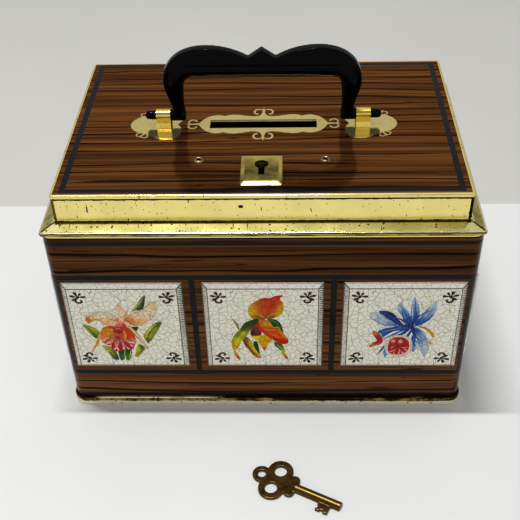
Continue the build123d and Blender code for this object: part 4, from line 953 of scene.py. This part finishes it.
def finial(gold, x, y, angle, size, stem):
    """Pointed finial with a C-scroll on each side, pointing along angle in degrees."""
    cos, sin = math.cos(math.radians(angle)), math.sin(math.radians(angle))

    def turned(points):
        # forward along the spike, then sideways
        return [[x + size * (f * cos - s * sin), y + size * (f * sin + s * cos)] for f, s in points]

    spike = [(-0.8, 0), (stem * 0.5, 0), (stem + 3.2, 0), (stem + 4.4, 0), (stem + 5.6, 0)]
    gold.line(turned(spike), "ffffff", [size * w for w in (2.6, 1.5, 0.85, 0.8, 0.1)])
    scroll = [(3.2, 0.3), (4.3, 1.6), (4.0, 3.3), (2.5, 4.2), (0.9, 3.9), (0.15, 3.0), (0.7, 2.4)]
    for side in (-1, 1):
        gold.line(turned([(stem + f, side * s) for f, s in scroll]), "ffffff",
                  [size * w for w in (0.45, 0.6, 0.9, 0.95, 0.85, 0.9, 0.5)])


def smooth_runs(*runs):
    """Points along several smooth runs that meet in cusps."""
    return [p for run in runs for p in catmull(numbers(run), 4)]


def without_doubles(outline):
    """The outline without points that repeat the one before."""
    return [p for i, p in enumerate(outline) if math.dist(p, outline[i - 1]) > 0.01]


# coin slot: a long lobed frame with a finial on each of its four sides
quarter = smooth_runs("28.8,0 26.5,4 24.5,6.1 21.5,7.5 19,7.4 17.2,6.7",
                      "17.2,6.7 15.4,7.6 13,7.9 10,7.5 7,6.7 4.5,6.3 2.4,6.6 1.2,7.6 .8,9")
ring = quarter + [[-x, y] for x, y in reversed(quarter)]
ring += [[-x, -y] for x, y in quarter[1:]] + [[x, -y] for x, y in list(reversed(quarter))[:-1]]
hole = [[sx * SLOT_HALF_L, sy * SLOT_HALF_W] for sx, sy in ((-1, -1), (1, -1), (1, 1), (-1, 1))]
gold = Print()
gold.fill(without_doubles(ring), "ffffff", grid=3.0, holes=[hole], curved=False)
for x, y, angle, size, stem in ((0, 7.8, 90, 0.98, 0.3), (0, -7.8, -90, 0.98, 0.3),
                                (28.6, 0, 0, 0.84, 0.9), (-28.6, 0, 180, 0.84, 0.9)):
    finial(gold, x, y, angle, size, stem)
GOLD_PRINT = gold_print()
put_print("slot_frame_print", gold.mesh("slot_frame", GOLD_PRINT), (1, 0, 0), (0, 0, 1),
          (0, LINE_Y, LID_TOP), "lid")

# handle brackets: a three-lobed patch under each, with a finial at both outer cusps
upper = smooth_runs("-20,0 -19.6,2 -18.6,4 -16.6,6.1 -13.8,7.2",
                    "-13.8,7.2 -10.6,9 -7.3,11.4 -3.3,12.4 .3,11.6 2.3,8.8 3,5.5 2.7,3.2 1.9,1.6 .9,0")
patch = upper + [[x, -y] for x, y in reversed(upper)][1:-1]
gold = Print()
gold.fill(without_doubles(patch), "ffffff", grid=3.0, curved=False)
for sign in (-1, 1):
    finial(gold, -13.2, sign * 7.4, sign * 116, 0.62, 0.6)
patch_mesh = gold.mesh("bracket_patch", GOLD_PRINT)
PATCH_X = 38.7
for side, sign in (("left", 1), ("right", -1)):
    put_print(f"bracket_print_{side}", patch_mesh, (sign, 0, 0), (0, 0, 1),
              (-sign * PATCH_X, LINE_Y, LID_TOP), "lid")

# ---------------------- moulded handle and cast key
def moulded_copy(node, name, voxel, passes):
    """Stands in for a CAD node with one smooth skin, its edges rounded as in a mould."""
    obj = add_object(name, nodes[node].data.copy())
    weld = obj.modifiers.new("weld", "WELD")
    weld.merge_threshold = 1e-6
    skin = obj.modifiers.new("skin", "REMESH")
    skin.mode = "VOXEL"
    skin.voxel_size = voxel * MM
    skin.use_smooth_shade = True
    soften = obj.modifiers.new("soften", "SMOOTH")
    soften.factor = 0.5
    soften.iterations = passes
    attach(obj, node)
    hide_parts(node)
    return obj


handle_skin = moulded_copy("handle", "handle_moulding", 0.42, 6)
key_skin = moulded_copy("key", "key_casting", 0.24, 3)


# ---------------------- stage, light and camera
def floor(name, y0, y1, z, tone):
    """A wide strip of faintly clouded floor."""
    g = Graph(name, Roughness=0.45)
    cloud = g.step(g.noise(g.mm, scale=0.01), 0.3, 0.7)
    mesh = bpy.data.meshes.new(name)
    half = 3.0
    mesh.from_pydata([(-half, y0, z), (half, y0, z), (half, y1, z), (-half, y1, z)], [], [(0, 1, 2, 3)])
    mesh.materials.append(g.use(Base_Color=g.mix(cloud, tone, [c * 0.97 for c in linear(tone)])))
    return add_object(name, mesh)


BACK_EDGE = 0.097  # the table ends just behind the box, and a slightly greyer floor goes on
table = floor("floor_table", -3.0, BACK_EDGE, 0.0, "d7d8d7")
beyond = floor("floor_beyond", BACK_EDGE, 3.0, -0.00001, "bebdb9")


def studio_world():
    """Soft room light: bright ceiling, pale wall behind, dimmer room in front."""
    world = bpy.data.worlds.new("room")
    bpy.context.scene.world = world
    world.use_nodes = True
    g = Nodes(world.node_tree)
    _, depth, height = g.split(g.put("TexCoord", out="Generated"))

    def light(*stops):
        return g.ramp(height, [(place, (level, level, level * 0.985)) for place, level in stops])

    behind = light((0.0, 0.55), (0.45, 0.62), (0.8, 0.88), (1.0, 0.7))
    before = light((0.0, 0.8), (0.46, 0.95), (0.62, 0.22), (1.0, 0.45))
    background = g.tree.nodes["Background"]
    room = g.mix(g.put("MapRange", depth, -0.6, 0.5), before, behind)
    g.tree.links.new(room, background.inputs["Color"])
    background.inputs["Strength"].default_value = 0.8


studio_world()
lamp = bpy.data.lights.new("ceiling_light", "AREA")
lamp.shape = "RECTANGLE"
lamp.size = 0.3
lamp.size_y = 0.02
lamp.energy = 10.5
add_object("ceiling_light", lamp).location = (-0.115, 0.0, 1.15)

camera = bpy.data.cameras.new("camera")
camera.sensor_width = 36.0
camera.lens = 61.48
HEADING, TILT, ROLL = 0.0428, 0.8752, -0.0308
EYE = (0.0112, -0.3408, 0.3221)
turn = Matrix.Rotation(HEADING, 4, "Z") @ Matrix.Rotation(TILT, 4, "X") @ Matrix.Rotation(ROLL, 4, "Z")
camera_object = add_object("camera", camera)
camera_object.matrix_world = Matrix.Translation(EYE) @ turn
bpy.context.scene.camera = camera_object
bpy.context.scene.view_settings.view_transform = "Standard"
